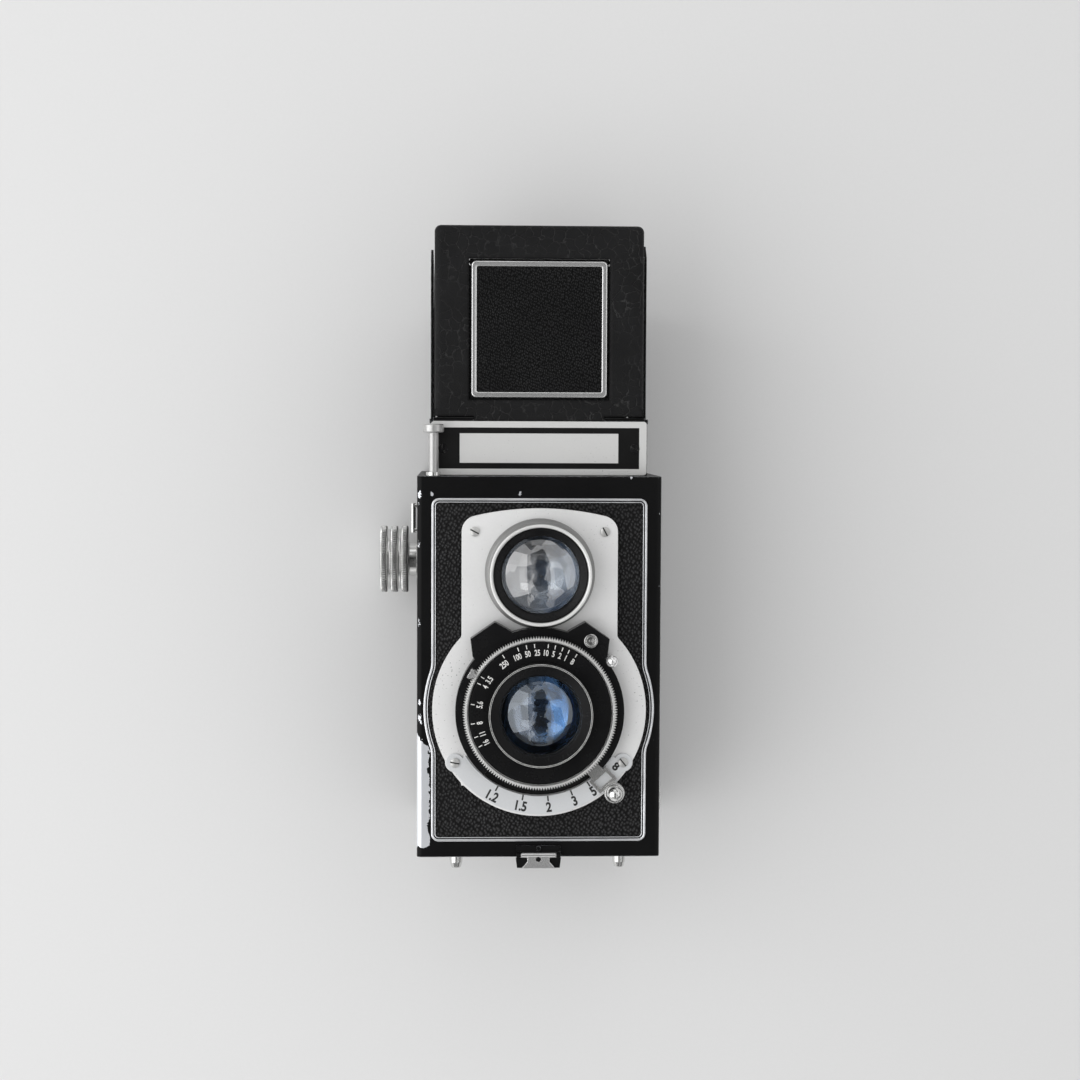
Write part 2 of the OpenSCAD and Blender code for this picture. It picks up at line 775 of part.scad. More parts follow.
// Fills the hollows between the upright lines at x = -hw and hw and a circle that bulges past them
module bulge_fill(hw, r, blend) {
  h = sqrt((r + blend) * (r + blend) - (hw + blend) * (hw + blend));
  turn = atan2(h, hw + blend);
  arc = [for (i = [0:blend_steps])
    let (a = turn * i / blend_steps) [hw + blend, h] - (blend + weld) * [cos(a), sin(a)]];
  low = [for (p = arc) [p[0], -p[1]]];
  high = [for (i = [blend_steps:-1:0]) arc[i]];
  for (a = [0, 180])
    rotate(a) polygon(concat([[hw - over, -h]], low, high, [[hw - over, h]]));
}

// The front plate's outline about the taking lens axis
module plate_outline() {
  hw = plate_w / 2;
  top = plate_top - taking_z;
  arch_c = top - arch_r;
  side = hw - plate_corner_r;
  corner_z = arch_c + sqrt(pow(arch_r - plate_corner_r, 2) - side * side);
  touch_x = side * arch_r / (arch_r - plate_corner_r);
  intersection() {
    translate([0, arch_c]) circle(arch_r);
    union() {
      translate([-hw, 0]) square([plate_w, corner_z]);
      translate([-touch_x, 0]) square([2 * touch_x, top]);
      for (x = [-1, 1])
        translate([x * side, corner_z]) circle(plate_corner_r);
    }
  }
  circle(lobe_r);
  bulge_fill(hw, lobe_r, plate_blend_r);
  for (a = [-scale_screw_angle, scale_screw_angle - 180])
    rotate(a) translate([scale_screw_r, 0]) circle(ear_r);
}

// A slotted screw head that rises from z = 0
module screw_head(h) {
  difference() {
    cylinder(r = screw_r, h = h);
    translate([-far / 2, -screw_slot / 2, h / 2]) cube([far, screw_slot, far]);
  }
}

// A round glass with one curved face, its edge from z = 0 to the edge height
module lens(r, curve, edge) {
  sag = curve - sqrt(curve * curve - r * r);
  intersection() {
    cylinder(r = r, h = edge + sag);
    translate([0, 0, edge + sag - curve]) sphere(curve, $fn = sphere_steps);
  }
}

// A pin or rod along X, centred on x = 0
module cross_rod(r, half, y, z) {
  sideways(-half, y, z) cylinder(r = r, h = 2 * half);
}

module body_shell() {
  color("#1b1b1c") difference() {
    linear_extrude(body_h) rounded_rect(body_w, body_d, edge_r);
    // the room inside
    translate([-inner_x, front_y + front_wall, -over])
      cube([2 * inner_x, side_end_y - front_y, body_h - top_wall + over]);
    // the door's place
    translate([-far / 2, side_end_y, -over]) cube([far, far, door_top + over]);
    translate([-far / 2, front_y + front_wall, -over])
      cube([far, far, tray_h + part_gap + over]);
    // the hinge's place
    translate([-barrel_half - part_gap, hinge_y - barrel_r - slide_gap, door_top - over])
      cube([2 * (barrel_half + part_gap), far, far]);
    cross_rod(door_pin_r + run_gap, inner_x + side_wall / 2, hinge_y, hinge_z);
    difference() {
      translate([-far / 2, hinge_y, door_top - over]) cube([far, far, far]);
      cross_rod(barrel_r + part_gap, far / 2, hinge_y, hinge_z);
    }
    // the lens openings
    facing(front_y + front_wall + over) {
      translate([0, taking_z]) cylinder(r = wall_hole_r, h = front_wall + 2 * over);
      translate([0, view_z]) cylinder(r = view_hole_r, h = front_wall + 2 * over);
    }
    // the screen's seat
    translate([0, mirror_y, body_h - screen_t]) linear_extrude(far)
      square(screen + 2 * run_gap, center = true);
    translate([0, mirror_y, body_h - top_wall - over]) linear_extrude(far)
      square(screen - 2 * screen_ledge, center = true);
    // the release, the winding shaft and the two spool pins
    translate([-release_x, front_y + release_in, body_h - top_wall - over])
      cylinder(r = release_r + 2 * run_gap, h = far);
    translate([-release_x, front_y + release_in, body_h - top_wall - release_tail])
      cylinder(r = release_r + slide_gap, h = release_tail + over);
    sideways(-far, take_up_y, take_up_z) cylinder(r = shaft_r + bush_wall, h = far);
    for (p = [[take_up_y, take_up_z], [supply_y, supply_z]])
      sideways(0, p[0], p[1]) cylinder(r = key_r + run_gap, h = far);
    // the leather's seats
    for (x = [0, 1])
      mirror([x, 0, 0]) translate([body_w / 2 - leather, 0, 0])
        sideways(0, 0, 0) linear_extrude(far) rotate(90) side_outline();
  }
  // the stub that the supply spool turns on
  color("#1b1b1c") sideways(-inner_x - side_wall / 2, supply_y, supply_z)
    cylinder(r = key_r, h = inner_x + side_wall / 2 - spool_l / 2 + key_depth - slide_gap);
}

// The side leather's outline, drawn in y and z
module side_outline() {
  low = tray_h + side_margin;
  high = door_top - side_margin;
  from = front_y + side_margin;
  to = side_end_y - side_margin;
  translate([(from + to) / 2, (low + high) / 2]) rounded_rect(to - from, high - low, edge_r);
}

module side_leather() {
  color("#141414") {
    difference() {
      side_sheet(1);
      for (p = [[take_up_y, take_up_z], [supply_y, supply_z]])
        sideways(0, p[0], p[1]) cylinder(r = key_r + slide_gap, h = far);
    }
    difference() {
      side_sheet(-1);
      sideways(-far, take_up_y, take_up_z)
        cylinder(r = shaft_r + bush_wall + slide_gap, h = far);
    }
  }
}

// One sheet of side leather, on the right for 1 and on the left for -1
module side_sheet(side) {
  sideways(side * (body_w / 2 - leather / 2) - leather / 2, 0, 0) linear_extrude(leather)
    rotate(90) side_outline();
}

module front_leather() {
  color("#161616") facing(front_y) linear_extrude(leather) difference() {
    trim_outline(trim_bead);
    translate([0, taking_z]) circle(wall_hole_r);
    translate([0, view_z]) circle(view_hole_r);
  }
}

module front_trim() {
  color("#d9d9d9") facing(front_y) linear_extrude(trim_rise) difference() {
    trim_outline(0);
    trim_outline(trim_bead);
  }
}

module hood_base() {
  half = hood_w / 2;
  color("#1b1b1c") {
    difference() {
      union() {
        hood_box(half, hood_y, hood_back_y, body_h, body_h + hood_floor);
        hood_box(half, hood_y, hood_y + hood_front_wall, body_h, lid_z);
        translate([-half, hood_y, body_h]) cube([hood_wall, hood_d, left_z - body_h]);
        translate([half - hood_wall, hood_y, body_h])
          cube([hood_wall, hood_d, right_z - body_h]);
        hood_box(half, hood_back_y - hood_wall, hood_back_y, body_h, rear_z);
        cross_rod(lid_knuckle_r, half - flap_t, lid_y, lid_z);
        end_knuckles();
      }
      // the view down to the screen
      translate([0, mirror_y, body_h - over]) linear_extrude(hood_floor + 2 * over)
        square(screen - 2 * screen_ledge, center = true);
      // the lid's own knuckle
      translate([0, hood_y - over, lid_z - lid_knuckle_r - slide_gap]) linear_extrude(far)
        translate([-lid_knuckle_half - slide_gap, 0])
          square([2 * (lid_knuckle_half + slide_gap), far / 2]);
      cross_rod(lid_pin_r, half + over, lid_y, lid_z);
      // the flaps' own knuckles and pins
      for (s = [[-1, left_z], [1, right_z]])
        flap_room(s[0], s[1]);
      rear_room();
    }
  }
}

// A straight wall of the hood base
module hood_box(half, y0, y1, z0, z1) {
  translate([-half, y0, z0]) cube([2 * half, y1 - y0, z1 - z0]);
}

// The hood base's knuckles at both ends of each flap
module end_knuckles() {
  for (s = [[-1, left_z], [1, right_z]])
    translate([s[0] * flap_axis_x, flap_back_y, s[1]]) rotate([90, 0, 0])
      cylinder(r = flap_knuckle_r, h = flap_back_y - flap_front_y);
  cross_rod(flap_knuckle_r, lid_half, rear_axis_y, rear_z);
}

// The room that a side flap's knuckle and sheet need in the hood base
module flap_room(side, z) {
  from = flap_front_y + knuckle_end - slide_gap;
  to = flap_back_y - knuckle_end + slide_gap;
  room = flap_knuckle_r + slide_gap;
  translate([side * flap_axis_x - room, from, z - room]) cube([2 * room, to - from, far]);
  translate([side * flap_axis_x, far / 2, z]) rotate([90, 0, 0])
    cylinder(r = flap_pin_r, h = far / 2 - flap_front_y - over);
}

// The room that the rear flap's knuckle needs in the hood base
module rear_room() {
  half = lid_half - knuckle_end + slide_gap;
  room = flap_knuckle_r + slide_gap;
  translate([-half, rear_axis_y - room, rear_z - room]) cube([2 * half, far, far]);
  cross_rod(flap_pin_r, lid_half + over, rear_axis_y, rear_z);
}

module hood_pins() {
  color("#b9b9b9") {
    cross_rod(lid_pin_r, hood_w / 2 + slide_gap, lid_y, lid_z);
    cross_rod(flap_pin_r, lid_half, rear_axis_y, rear_z);
    for (s = [[-1, left_z], [1, right_z]])
      translate([s[0] * flap_axis_x, flap_back_y, s[1]]) rotate([90, 0, 0])
        cylinder(r = flap_pin_r, h = flap_back_y - flap_front_y - over);
  }
}

module name_plate() {
  h = lid_hinge_h - part_gap;
  color("#c9c9c7") facing(hood_y, body_h + part_gap + h / 2)
    linear_extrude(name_t) rounded_rect(hood_w - 2 * part_gap, h, name_corner_r);
}

module name_plate_screws() {
  color("#2a2a2a")
    for (x = [-1, 1])
      translate([x * name_screw_x, 0, 0]) facing(hood_y - name_t, body_h + lid_hinge_h / 2)
        screw_head(name_screw_h);
}

module focusing_screen() {
  color("#e3e6e4") translate([0, mirror_y, body_h - screen_t])
    linear_extrude(screen_t) square(screen, center = true);
}

// A sheet along the mirror's 45 degree slope, from one depth below its face to another
module slope(width, rise, depth0, depth1) {
  translate([0, mirror_y, view_z]) rotate([45, 0, 0])
    translate([-width / 2, -rise * sqrt(2), -depth1])
      cube([width, 2 * rise * sqrt(2), depth1 - depth0]);
}

module mirror_glass() {
  color("#dfe6ea") slope(mirror_w, mirror_rise, 0, mirror_t);
}

module mirror_cradle() {
  color("#242424")
    slope(2 * inner_x, mirror_rise + cradle_t / 2, mirror_t, mirror_t + cradle_t);
}

// The light tunnel's side profile in y and z, grown by its wall
module tunnel_profile(grow) {
  mouth = tunnel_mouth + grow;
  end = gate / 2 + grow;
  translate([0, taking_z])
    polygon([[tunnel_front_y, -mouth], [film_y, -end], [film_y, end], [tunnel_front_y, mouth]]);
}

// Extrudes a profile drawn in y and z to both sides of x = 0
module across(half) {
  translate([-half, 0, 0]) rotate([90, 0, 90]) linear_extrude(2 * half) children();
}

module light_tunnel() {
  half_w = gate / 2;
  color("#202020") difference() {
    union() {
      across(half_w + tunnel_wall) tunnel_profile(tunnel_wall);
      facing(film_y, taking_z) linear_extrude(gate_plate_t)
        square([2 * inner_x, gate + 2 * tunnel_wall], center = true);
      for (x = [-1, 1], z = [-1, 1])
        translate([x * (roller_half + part_gap + roller_ear_t / 2), 0, taking_z + z * roller_off])
          sideways(-roller_ear_t / 2, roller_y, 0) linear_extrude(roller_ear_t) roller_ear(z);
    }
    translate([0, -over, 0]) across(half_w) tunnel_profile(0);
    facing(film_y + over, taking_z) linear_extrude(gate_plate_t + over)
      square(gate, center = true);
    for (z = [-1, 1])
      cross_rod(journal_r + run_gap, inner_x, roller_y, taking_z + z * roller_off);
  }
}

// An ear that carries a roller's journal and reaches to the gate plate
module roller_ear(side) {
  reach = roller_off - gate / 2;
  circle(roller_r);
  translate([side > 0 ? 0 : -reach, -roller_r]) square([reach, 2 * roller_r]);
}

// A film roller with its journals
module roller(z) {
  color("#b5b5b5") {
    cross_rod(roller_r, roller_half, roller_y, z);
    cross_rod(journal_r, roller_half + part_gap + roller_ear_t, roller_y, z);
  }
}

module lower_roller() {
  roller(taking_z - roller_off);
}

module upper_roller() {
  roller(taking_z + roller_off);
}

module helicoid_mount() {
  color("#3a3a3a") facing(front_y + front_wall + mount_l, taking_z)
    washer(focus_ring_r + 2 * run_gap, focus_ring_r + mount_wall, mount_l);
}

module release_bush() {
  color("#8f8f8f") translate([-release_x, front_y + release_in, body_h])
    washer(release_r + 2 * run_gap, release_bush_r, release_bush_h);
}

module release_button() {
  color("#cfcfcf") translate([-release_x, front_y + release_in, body_h]) {
    translate([0, 0, release_h - release_head_h])
      cylinder(r = release_head_r, h = release_head_h);
    translate([0, 0, -release_tail + release_travel])
      cylinder(r = release_r, h = release_h - release_head_h + release_tail - release_travel);
  }
}

module door_hinge_pin() {
  color("#b9b9b9") cross_rod(door_pin_r, inner_x + side_wall / 2, hinge_y, hinge_z);
}

module strap_lugs() {
  color("#c2c2c2")
    for (x = [0, 1])
      mirror([x, 0, 0]) translate([body_w / 2, lug_y, body_h - lug_drop]) {
        translate([lug_out, 0, -lug_l / 2]) cylinder(r = lug_r, h = lug_l);
        for (z = [-1, 1])
          translate([0, 0, z * (lug_l / 2 - lug_r)]) rotate([0, 90, 0])
            cylinder(r = lug_r, h = lug_out);
      }
}

module winding_bush() {
  neck = shaft_r + bush_wall - run_gap;
  color("#c6c6c6") sideways(bush_out_x, take_up_y, take_up_z) {
    washer(shaft_r + run_gap, neck, bush_l + side_wall);
    translate([0, 0, bush_l - bush_t]) washer(neck, bush_r, bush_t);
  }
}

module front_plate() {
  color("#c4c4c2") facing(plate_back_y, taking_z) linear_extrude(plate_t) difference() {
    plate_outline();
    circle(tube_r + run_gap);
    translate([0, lens_pitch]) circle(view_tube_r + run_gap);
    band(slot_r, slot_r + slot_w, slot_end - slot_margin, focus_angle + slot_margin);
  }
}

module plate_screws() {
  color("#d6d6d6") {
    for (x = [-1, 1])
      translate([x * top_screw_x, 0, 0]) facing(plate_y, view_z + top_screw_rise)
        screw_head(screw_h);
    for (a = [-scale_screw_angle, scale_screw_angle - 180])
      facing(plate_y - scale_t, taking_z) rotate(a)
        translate([scale_screw_r, 0]) screw_head(screw_h);
  }
}

module focus_scale() {
  color("#d2d2d0") facing(plate_y, taking_z) linear_extrude(scale_t) {
    band(scale_r, scale_r + scale_w, scale_screw_angle - 180, -scale_screw_angle);
    for (a = [-scale_screw_angle, scale_screw_angle - 180])
      rotate(a) translate([scale_screw_r, 0]) circle(ear_r - part_gap);
  }
}

module viewing_barrel() {
  tube_in = view_tube_r - view_tube_wall;
  color("#cfcfcd") facing(plate_y, view_z) difference() {
    rotate_extrude() polygon([
      [tube_in, -view_tube_l], [view_tube_r, -view_tube_l], [view_tube_r, 0], [view_base_r, 0],
      [view_base_r, view_base_h], [view_rim_r, view_base_h + view_base_r - view_rim_r],
      [view_rim_r, view_l], [view_bore_r, view_l], [view_bore_r, view_floor], [tube_in, view_floor]
    ]);
    // the room that the shutter needs beside the flange
    translate([0, -lens_pitch, -over]) cylinder(r = housing_r + part_gap, h = view_l);
  }
}

module viewing_ring() {
  top = view_l - view_ring_in;
  color("#111111") facing(plate_y, view_z) rotate_extrude() polygon([
    [view_glass_r, top - view_ring_t], [view_bore_r, top - view_ring_t], [view_bore_r, top],
    [view_glass_r, top - view_ring_slope]
  ]);
}

module viewing_glass() {
  glass_a = view_l - view_ring_in - view_ring_t + view_glass_hold - view_glass_edge;
  color("#9fb0bd") facing(plate_y - glass_a, view_z)
    lens(view_glass_r, view_curve_r, view_glass_edge);
}

// One of the housing's two ears, on the right
module housing_ear() {
  rotate(socket_angle) polygon([
    [hub_r, -ear_foot_w / 2], [housing_r, -ear_foot_w / 2], [ear_reach, -ear_tip_w / 2],
    [ear_reach, ear_tip_w / 2], [housing_r - ear_back_in, ear_foot_w / 2], [hub_r, ear_foot_w / 2]
  ]);
}

module shutter_housing() {
  color("#131313") facing(plate_y, taking_z) difference() {
    union() {
      linear_extrude(housing_h) difference() {
        union() {
          circle(housing_r);
          housing_ear();
          mirror([1, 0]) housing_ear();
        }
        band(slot_r - part_gap, far / 2, slot_end - slot_margin, focus_angle + slot_margin);
      }
      cylinder(r = hub_r, h = dial_a);
    }
    // the bore that holds the lens ring, and the blades' place
    translate([0, 0, blade_room + housing_floor]) cylinder(r = hub_bore_r, h = far);
    translate([0, 0, -over]) cylinder(r = tube_r - tube_wall, h = far);
    translate([0, 0, -over]) cylinder(r = blade_r + run_gap, h = over + blade_room);
    // the cocking lever's groove and its way out
    translate([0, 0, -over])
      washer(cock_ring_r - slide_gap, cock_ring_r + cock_ring_w + slide_gap,
        over + cock_a + cock_t + slide_gap);
    translate([0, 0, -over]) linear_extrude(over + cock_a + cock_t + slide_gap)
      band(hub_r, far / 2, cock_angle - cock_turn - slot_margin, cock_angle + slot_margin);
  }
}

module shutter_dial() {
  r = speed_r - speed_rim - slide_gap;
  color("#101010") facing(plate_y - dial_a, taking_z) rotate_extrude() polygon([
    [hub_bore_r, 0], [r, 0], [r, dial_t - dial_bevel], [r - dial_bevel, dial_t], [hub_bore_r, dial_t]
  ]);
}

module flash_socket() {
  color("#c9c9c9") facing(plate_y - housing_h, taking_z)
    rotate(socket_angle) translate([socket_reach, 0]) {
      washer(socket_bore_r, socket_r, socket_h);
      cylinder(r = socket_pin_r, h = socket_h - socket_pin_in);
      cylinder(r = (socket_r + socket_bore_r) / 2, h = socket_floor);
    }
}

module taking_ring() {
  low = blade_room + housing_floor;
  lip_r = taking_r - taking_lip;
  floor_a = taking_l - name_ring_in;
  color("#121212") facing(plate_y, taking_z) rotate_extrude() polygon([
    [taking_glass_r, low], [neck_r, low], [neck_r, rim_a], [taking_r, rim_a],
    [taking_r, taking_l], [lip_r, taking_l],
    [lip_r - name_ring_in, floor_a], [taking_glass_r, floor_a - name_ring_slope]
  ]);
}

module taking_glass() {
  color("#5b7896") facing(plate_y - taking_l + taking_glass_in + taking_glass_edge, taking_z)
    lens(taking_glass_r - run_gap, taking_curve_r, taking_glass_edge);
}

module helicoid_tube() {
  color("#4a4a4a") facing(plate_y + tube_l, taking_z)
    washer(tube_r - tube_wall, tube_r, tube_l);
}

module rear_glass() {
  color("#8aa0b4") facing(plate_y + rear_glass_in, taking_z)
    mirror([0, 0, 1]) lens(tube_r - tube_wall - run_gap, rear_curve_r, rear_glass_edge);
}

module shutter_blades() {
  step = 360 / blade_count;
  color("#2c2c2e") facing(plate_y - run_gap, taking_z) linear_extrude(blade_t)
    for (i = [0:blade_count - 1])
      rotate(i * step) translate(run_gap * [cos(step / 2), sin(step / 2)])
        band(blade_eye, blade_r - 2 * run_gap, blade_angle / 2, step - blade_angle / 2);
}

module focus_lever() {
  color("#c8c8c8") facing(plate_y, taking_z) {
    translate([0, 0, -tube_l])
      washer(tube_r + run_gap, focus_ring_r, tube_l - plate_t - part_gap);
    rotate(focus_angle) {
      translate([slot_r + part_gap, -focus_pin_w / 2, -plate_t - part_gap - over])
        cube([slot_w - 2 * part_gap, focus_pin_w, plate_t + part_gap + over + lever_a + lever_t]);
      translate([0, 0, lever_a]) linear_extrude(lever_t) difference() {
        union() {
          translate([slot_r + part_gap, -lever_w / 2])
            square([knob_r - slot_r - part_gap, lever_w]);
          translate([knob_r, 0]) circle(lever_w / 2);
          translate([index_r, 0]) square([index_l, index_w], center = true);
        }
        translate([index_r, 0])
          square([index_l - 2 * index_rim, index_w - 2 * index_rim], center = true);
      }
    }
  }
}

module focus_knob() {
  color("#dcdcdc") facing(plate_y - lever_a - lever_t, taking_z)
    rotate(focus_angle) translate([knob_r, 0, 0]) {
      linear_extrude(nut_h) knurl(nut_r, nut_teeth, tooth_depth);
      translate([0, 0, nut_h + ball_rise]) sphere(ball_r);
    }
}

module speed_ring() {
  color("#d0d0d0") facing(plate_y - speed_a, taking_z) {
    linear_extrude(speed_h) difference() {
      knurl(speed_r, speed_teeth, tooth_depth);
      circle(speed_r - speed_rim);
    }
    washer(hub_r + run_gap, speed_r - speed_rim + run_gap, speed_flange);
  }
}

module aperture_lever() {
  tab_r = speed_r + slide_gap;
  out_r = tab_r + aperture_tab;
  half = aperture_w / 2;
  color("#cccccc") facing(plate_y - aperture_a, taking_z) {
    washer(hub_r + run_gap, hub_r + aperture_ring, aperture_t);
    rotate(aperture_angle) {
      translate([hub_r + aperture_ring / 2, -half, 0])
        cube([out_r - hub_r - aperture_ring / 2, aperture_w, aperture_t]);
      translate([tab_r, -half, 0])
        cube([aperture_tab, aperture_w, pointer_a - aperture_a + aperture_t]);
      translate([0, 0, pointer_a - aperture_a]) linear_extrude(aperture_t) polygon([
        [out_r, -half], [out_r, half],
        [tab_r - pointer_l, pointer_tip / 2], [tab_r - pointer_l, -pointer_tip / 2]
      ]);
    }
  }
}

module cocking_lever() {
  top = housing_h + cock_ball_r + slide_gap * 2;
  color("#d4d4d4") facing(plate_y, taking_z) {
    translate([0, 0, cock_a]) washer(cock_ring_r, cock_ring_r + cock_ring_w, cock_t);
    rotate(cock_angle) {
      translate([cock_ring_r + 1, -cock_w / 2, cock_a])
        cube([cock_r - cock_ring_r - 1, cock_w, cock_t]);
      translate([cock_r, 0, cock_a]) cylinder(r = cock_w / 2, h = cock_t);
      translate([cock_r, 0, cock_a]) cylinder(r = cock_pin_r, h = top - cock_a);
      translate([cock_r, 0, top]) sphere(cock_ball_r);
    }
  }
}

module winding_knob() {
  ring_w = (wind_w - (wind_rings - 1) * wind_groove) / wind_rings;
  color("#d3d3d3") sideways(wind_in_x - wind_w, take_up_y, take_up_z) difference() {
    union() {
      cylinder(r = wind_r - wind_groove_depth, h = wind_w);
      for (i = [0:wind_rings - 1])
        translate([0, 0, i * (ring_w + wind_groove)]) linear_extrude(ring_w)
          knurl(wind_r, wind_teeth, tooth_depth);
    }
    translate([0, 0, ring_w / 2]) cylinder(r = shaft_r, h = far);
  }
}

module winding_shaft() {
  ring_w = (wind_w - (wind_rings - 1) * wind_groove) / wind_rings;
  start = wind_in_x - wind_w + ring_w / 2;
  color("#a8a8a8") {
    sideways(start, take_up_y, take_up_z) cylinder(r = shaft_r, h = shaft_in_x - start);
    sideways(shaft_in_x, take_up_y, take_up_z)
      cylinder(r = key_r, h = -spool_l / 2 + key_depth - slide_gap - shaft_in_x);
  }
}

// A film spool, empty, along X
module spool(y, z) {
  sideways(-spool_l / 2, y, z) difference() {
    union() {
      cylinder(r = core_r, h = spool_l);
      cylinder(r = spool_r, h = spool_flange);
      translate([0, 0, spool_l - spool_flange]) cylinder(r = spool_r, h = spool_flange);
    }
    translate([0, 0, -over]) cylinder(r = key_r + run_gap, h = key_depth + over);
    translate([0, 0, spool_l - key_depth]) cylinder(r = key_r + run_gap, h = key_depth + over);
  }
}

module take_up_spool() {
  color("#333333") spool(take_up_y, take_up_z);
}

module supply_spool() {
  color("#333333") spool(supply_y, supply_z);
}

// A sprung pin with its pull knob on the right side
module spool_pin(y, z) {
  tip = spool_l / 2 - pull_travel + slide_gap * 2;
  color("#c8c8c8") {
    sideways(tip, y, z) cylinder(r = key_r, h = body_w / 2 + part_gap + pull_h / 2 - tip);
    sideways(body_w / 2 + part_gap, y, z) linear_extrude(pull_h)
      knurl(pull_r, pull_teeth, tooth_depth);
  }
}

module take_up_pin() {
  spool_pin(take_up_y, take_up_z);
}

module supply_pin() {
  spool_pin(supply_y, supply_z);
}

// The lid's outline about the middle of its hinge, drawn in x and z
module lid_outline(inset) {
  half = lid_half - inset;
  r = lid_corner_r - inset / 2;
  low = lid_foot + slide_gap;
  translate([-half, low]) square([2 * half, lid_h - inset - r - low]);
  translate([-half + r, low]) square([2 * (half - r), lid_h - inset - low]);
  for (x = [-1, 1])
    translate([x * (half - r), lid_h - inset - r]) circle(r);
}

module hood_lid() {
  open_mid = finder_mid - lid_z;
  color("#151515") difference() {
    union() {
      facing(hood_y + lid_skirt, lid_z) linear_extrude(lid_skirt) difference() {
        lid_outline(0);
        translate([0, -over]) lid_outline(lid_t);
        translate([-lid_half + lid_t, 0]) square([2 * (lid_half - lid_t), lid_h / 2]);
      }
      facing(hood_y + lid_t, lid_z) linear_extrude(lid_t) difference() {
        union() {
          lid_outline(0);
          translate([-lid_half, lid_knuckle_r + slide_gap]) square([2 * lid_half, lid_h / 2]);
          translate([-lid_knuckle_half, 0]) square([2 * lid_knuckle_half, lid_h / 2]);
        }
        translate([0, open_mid]) square(finder_open, center = true);
      }
      cross_rod(lid_knuckle_r, lid_knuckle_half, lid_y, lid_z);
      // the lugs that carry the finder flap's pin
      for (x = [-1, 1])
        translate([x * (finder_open + finder_lug) / 2 - finder_lug / 2, finder_y, finder_z]) {
          rotate([0, 90, 0]) cylinder(r = finder_knuckle_r, h = finder_lug);
          translate([0, hood_y + lid_t - finder_y, -finder_knuckle_r])
            cube([finder_lug, finder_y - hood_y - lid_t, 2 * finder_knuckle_r]);
        }
    }
    cross_rod(lid_pin_r + run_gap, lid_half, lid_y, lid_z);
    cross_rod(finder_pin_r + run_gap, lid_half - 2 * lid_t, finder_y, finder_z);
  }
}

module finder_flap() {
  half = finder_side / 2;
  lug_x = magnifier_hinge_w / 2 + part_gap + magnifier_lug / 2;
  color("#161616") difference() {
    union() {
      facing(finder_back_y, finder_mid) linear_extrude(finder_t)
        square(finder_side, center = true);
      facing(finder_back_y - finder_t, finder_mid) linear_extrude(leather)
        square(finder_side - 2 * finder_rim - part_gap, center = true);
      // the lip that stops against the inside of the lid
      facing(finder_back_y, finder_lip_z) linear_extrude(finder_t / 2)
        translate([-finder_lip_half, 0]) square([2 * finder_lip_half, finder_lip_h]);
      cross_rod(finder_knuckle_r, finder_open / 2 - part_gap, finder_y, finder_z);
      // the lugs that carry the magnifier
      for (x = [-1, 1])
        translate([x * lug_x - magnifier_lug / 2, finder_back_y, magnifier_z - finder_knuckle_r])
          cube([magnifier_lug, magnifier_y + finder_knuckle_r - finder_back_y, 2 * finder_knuckle_r]);
    }
    cross_rod(finder_pin_r, half + over, magnifier_y, magnifier_z);
  }
  // its own pin ends
  color("#b9b9b9") cross_rod(finder_pin_r, (finder_open + finder_lug) / 2, finder_y, finder_z);
}

module finder_frame() {
  color("#dedede") facing(finder_back_y - finder_t, finder_mid)
    linear_extrude(finder_rim_t) difference() {
      square(finder_side, center = true);
      square(finder_side - 2 * finder_rim, center = true);
    }
}

module magnifier_arm() {
  hinge = magnifier_hinge_w / 2;
  color("#2a2a2a") difference() {
    union() {
      facing(magnifier_y + magnifier_t / 2, magnifier_z) linear_extrude(magnifier_t) union() {
        translate([-hinge, -magnifier_arm_l]) square([magnifier_hinge_w, magnifier_arm_l]);
        translate([0, -magnifier_arm_l]) circle(magnifier_r + magnifier_rim);
      }
      cross_rod(finder_knuckle_r - run_gap, hinge, magnifier_y, magnifier_z);
    }
    facing(magnifier_y + over, magnifier_z) translate([0, -magnifier_arm_l])
      cylinder(r = magnifier_r, h = 2 * over);
  }
  // its own pin ends
  color("#b9b9b9")
    cross_rod(finder_pin_r - run_gap, hinge + part_gap + magnifier_lug, magnifier_y, magnifier_z);
}

module magnifier_lens() {
  color("#cfdde6") facing(magnifier_y, magnifier_z)
    translate([0, -magnifier_arm_l]) mirror([0, 0, 1])
      lens(magnifier_r, magnifier_curve_r, magnifier_t / 2);
}

// A side flap about its hinge, for the side -1 or 1
module side_flap(side, z) {
  sheet_x = hood_w / 2 - flap_t / 2;
  from = flap_front_y + knuckle_end;
  to = flap_back_y - knuckle_end;
  color("#191919") difference() {
    union() {
      translate([side * sheet_x, 0, z]) rotate([90, 0, 90])
        translate([0, 0, -flap_t / 2]) linear_extrude(flap_t) flap_outline();
      translate([side * flap_axis_x, to, z]) rotate([90, 0, 0])
        cylinder(r = flap_knuckle_r, h = to - from);
    }
    translate([side * flap_axis_x, to + over, z]) rotate([90, 0, 0])
      cylinder(r = flap_pin_r + run_gap, h = to - from + 2 * over);
  }
}

// A side flap's outline in y and z, with its sloping upper edge
module flap_outline() {
  low = flap_knuckle_r + slide_gap;
  from = flap_front_y + knuckle_end;
  to = flap_back_y - knuckle_end;
  slope = (flap_front_h - flap_rear_h) / (flap_back_y - flap_front_y - flap_corner_r);
  polygon([
    [flap_front_y, low], [flap_back_y, low], [flap_back_y, flap_rear_h - flap_corner_r],
    [flap_back_y - flap_corner_r, flap_rear_h + slope * flap_corner_r],
    [flap_front_y + flap_corner_r, flap_front_h], [flap_front_y, flap_front_h - flap_corner_r]
  ]);
  translate([from, 0]) square([to - from, low]);
}

module left_flap() {
  side_flap(-1, left_z);
}

module right_flap() {
  side_flap(1, right_z);
}

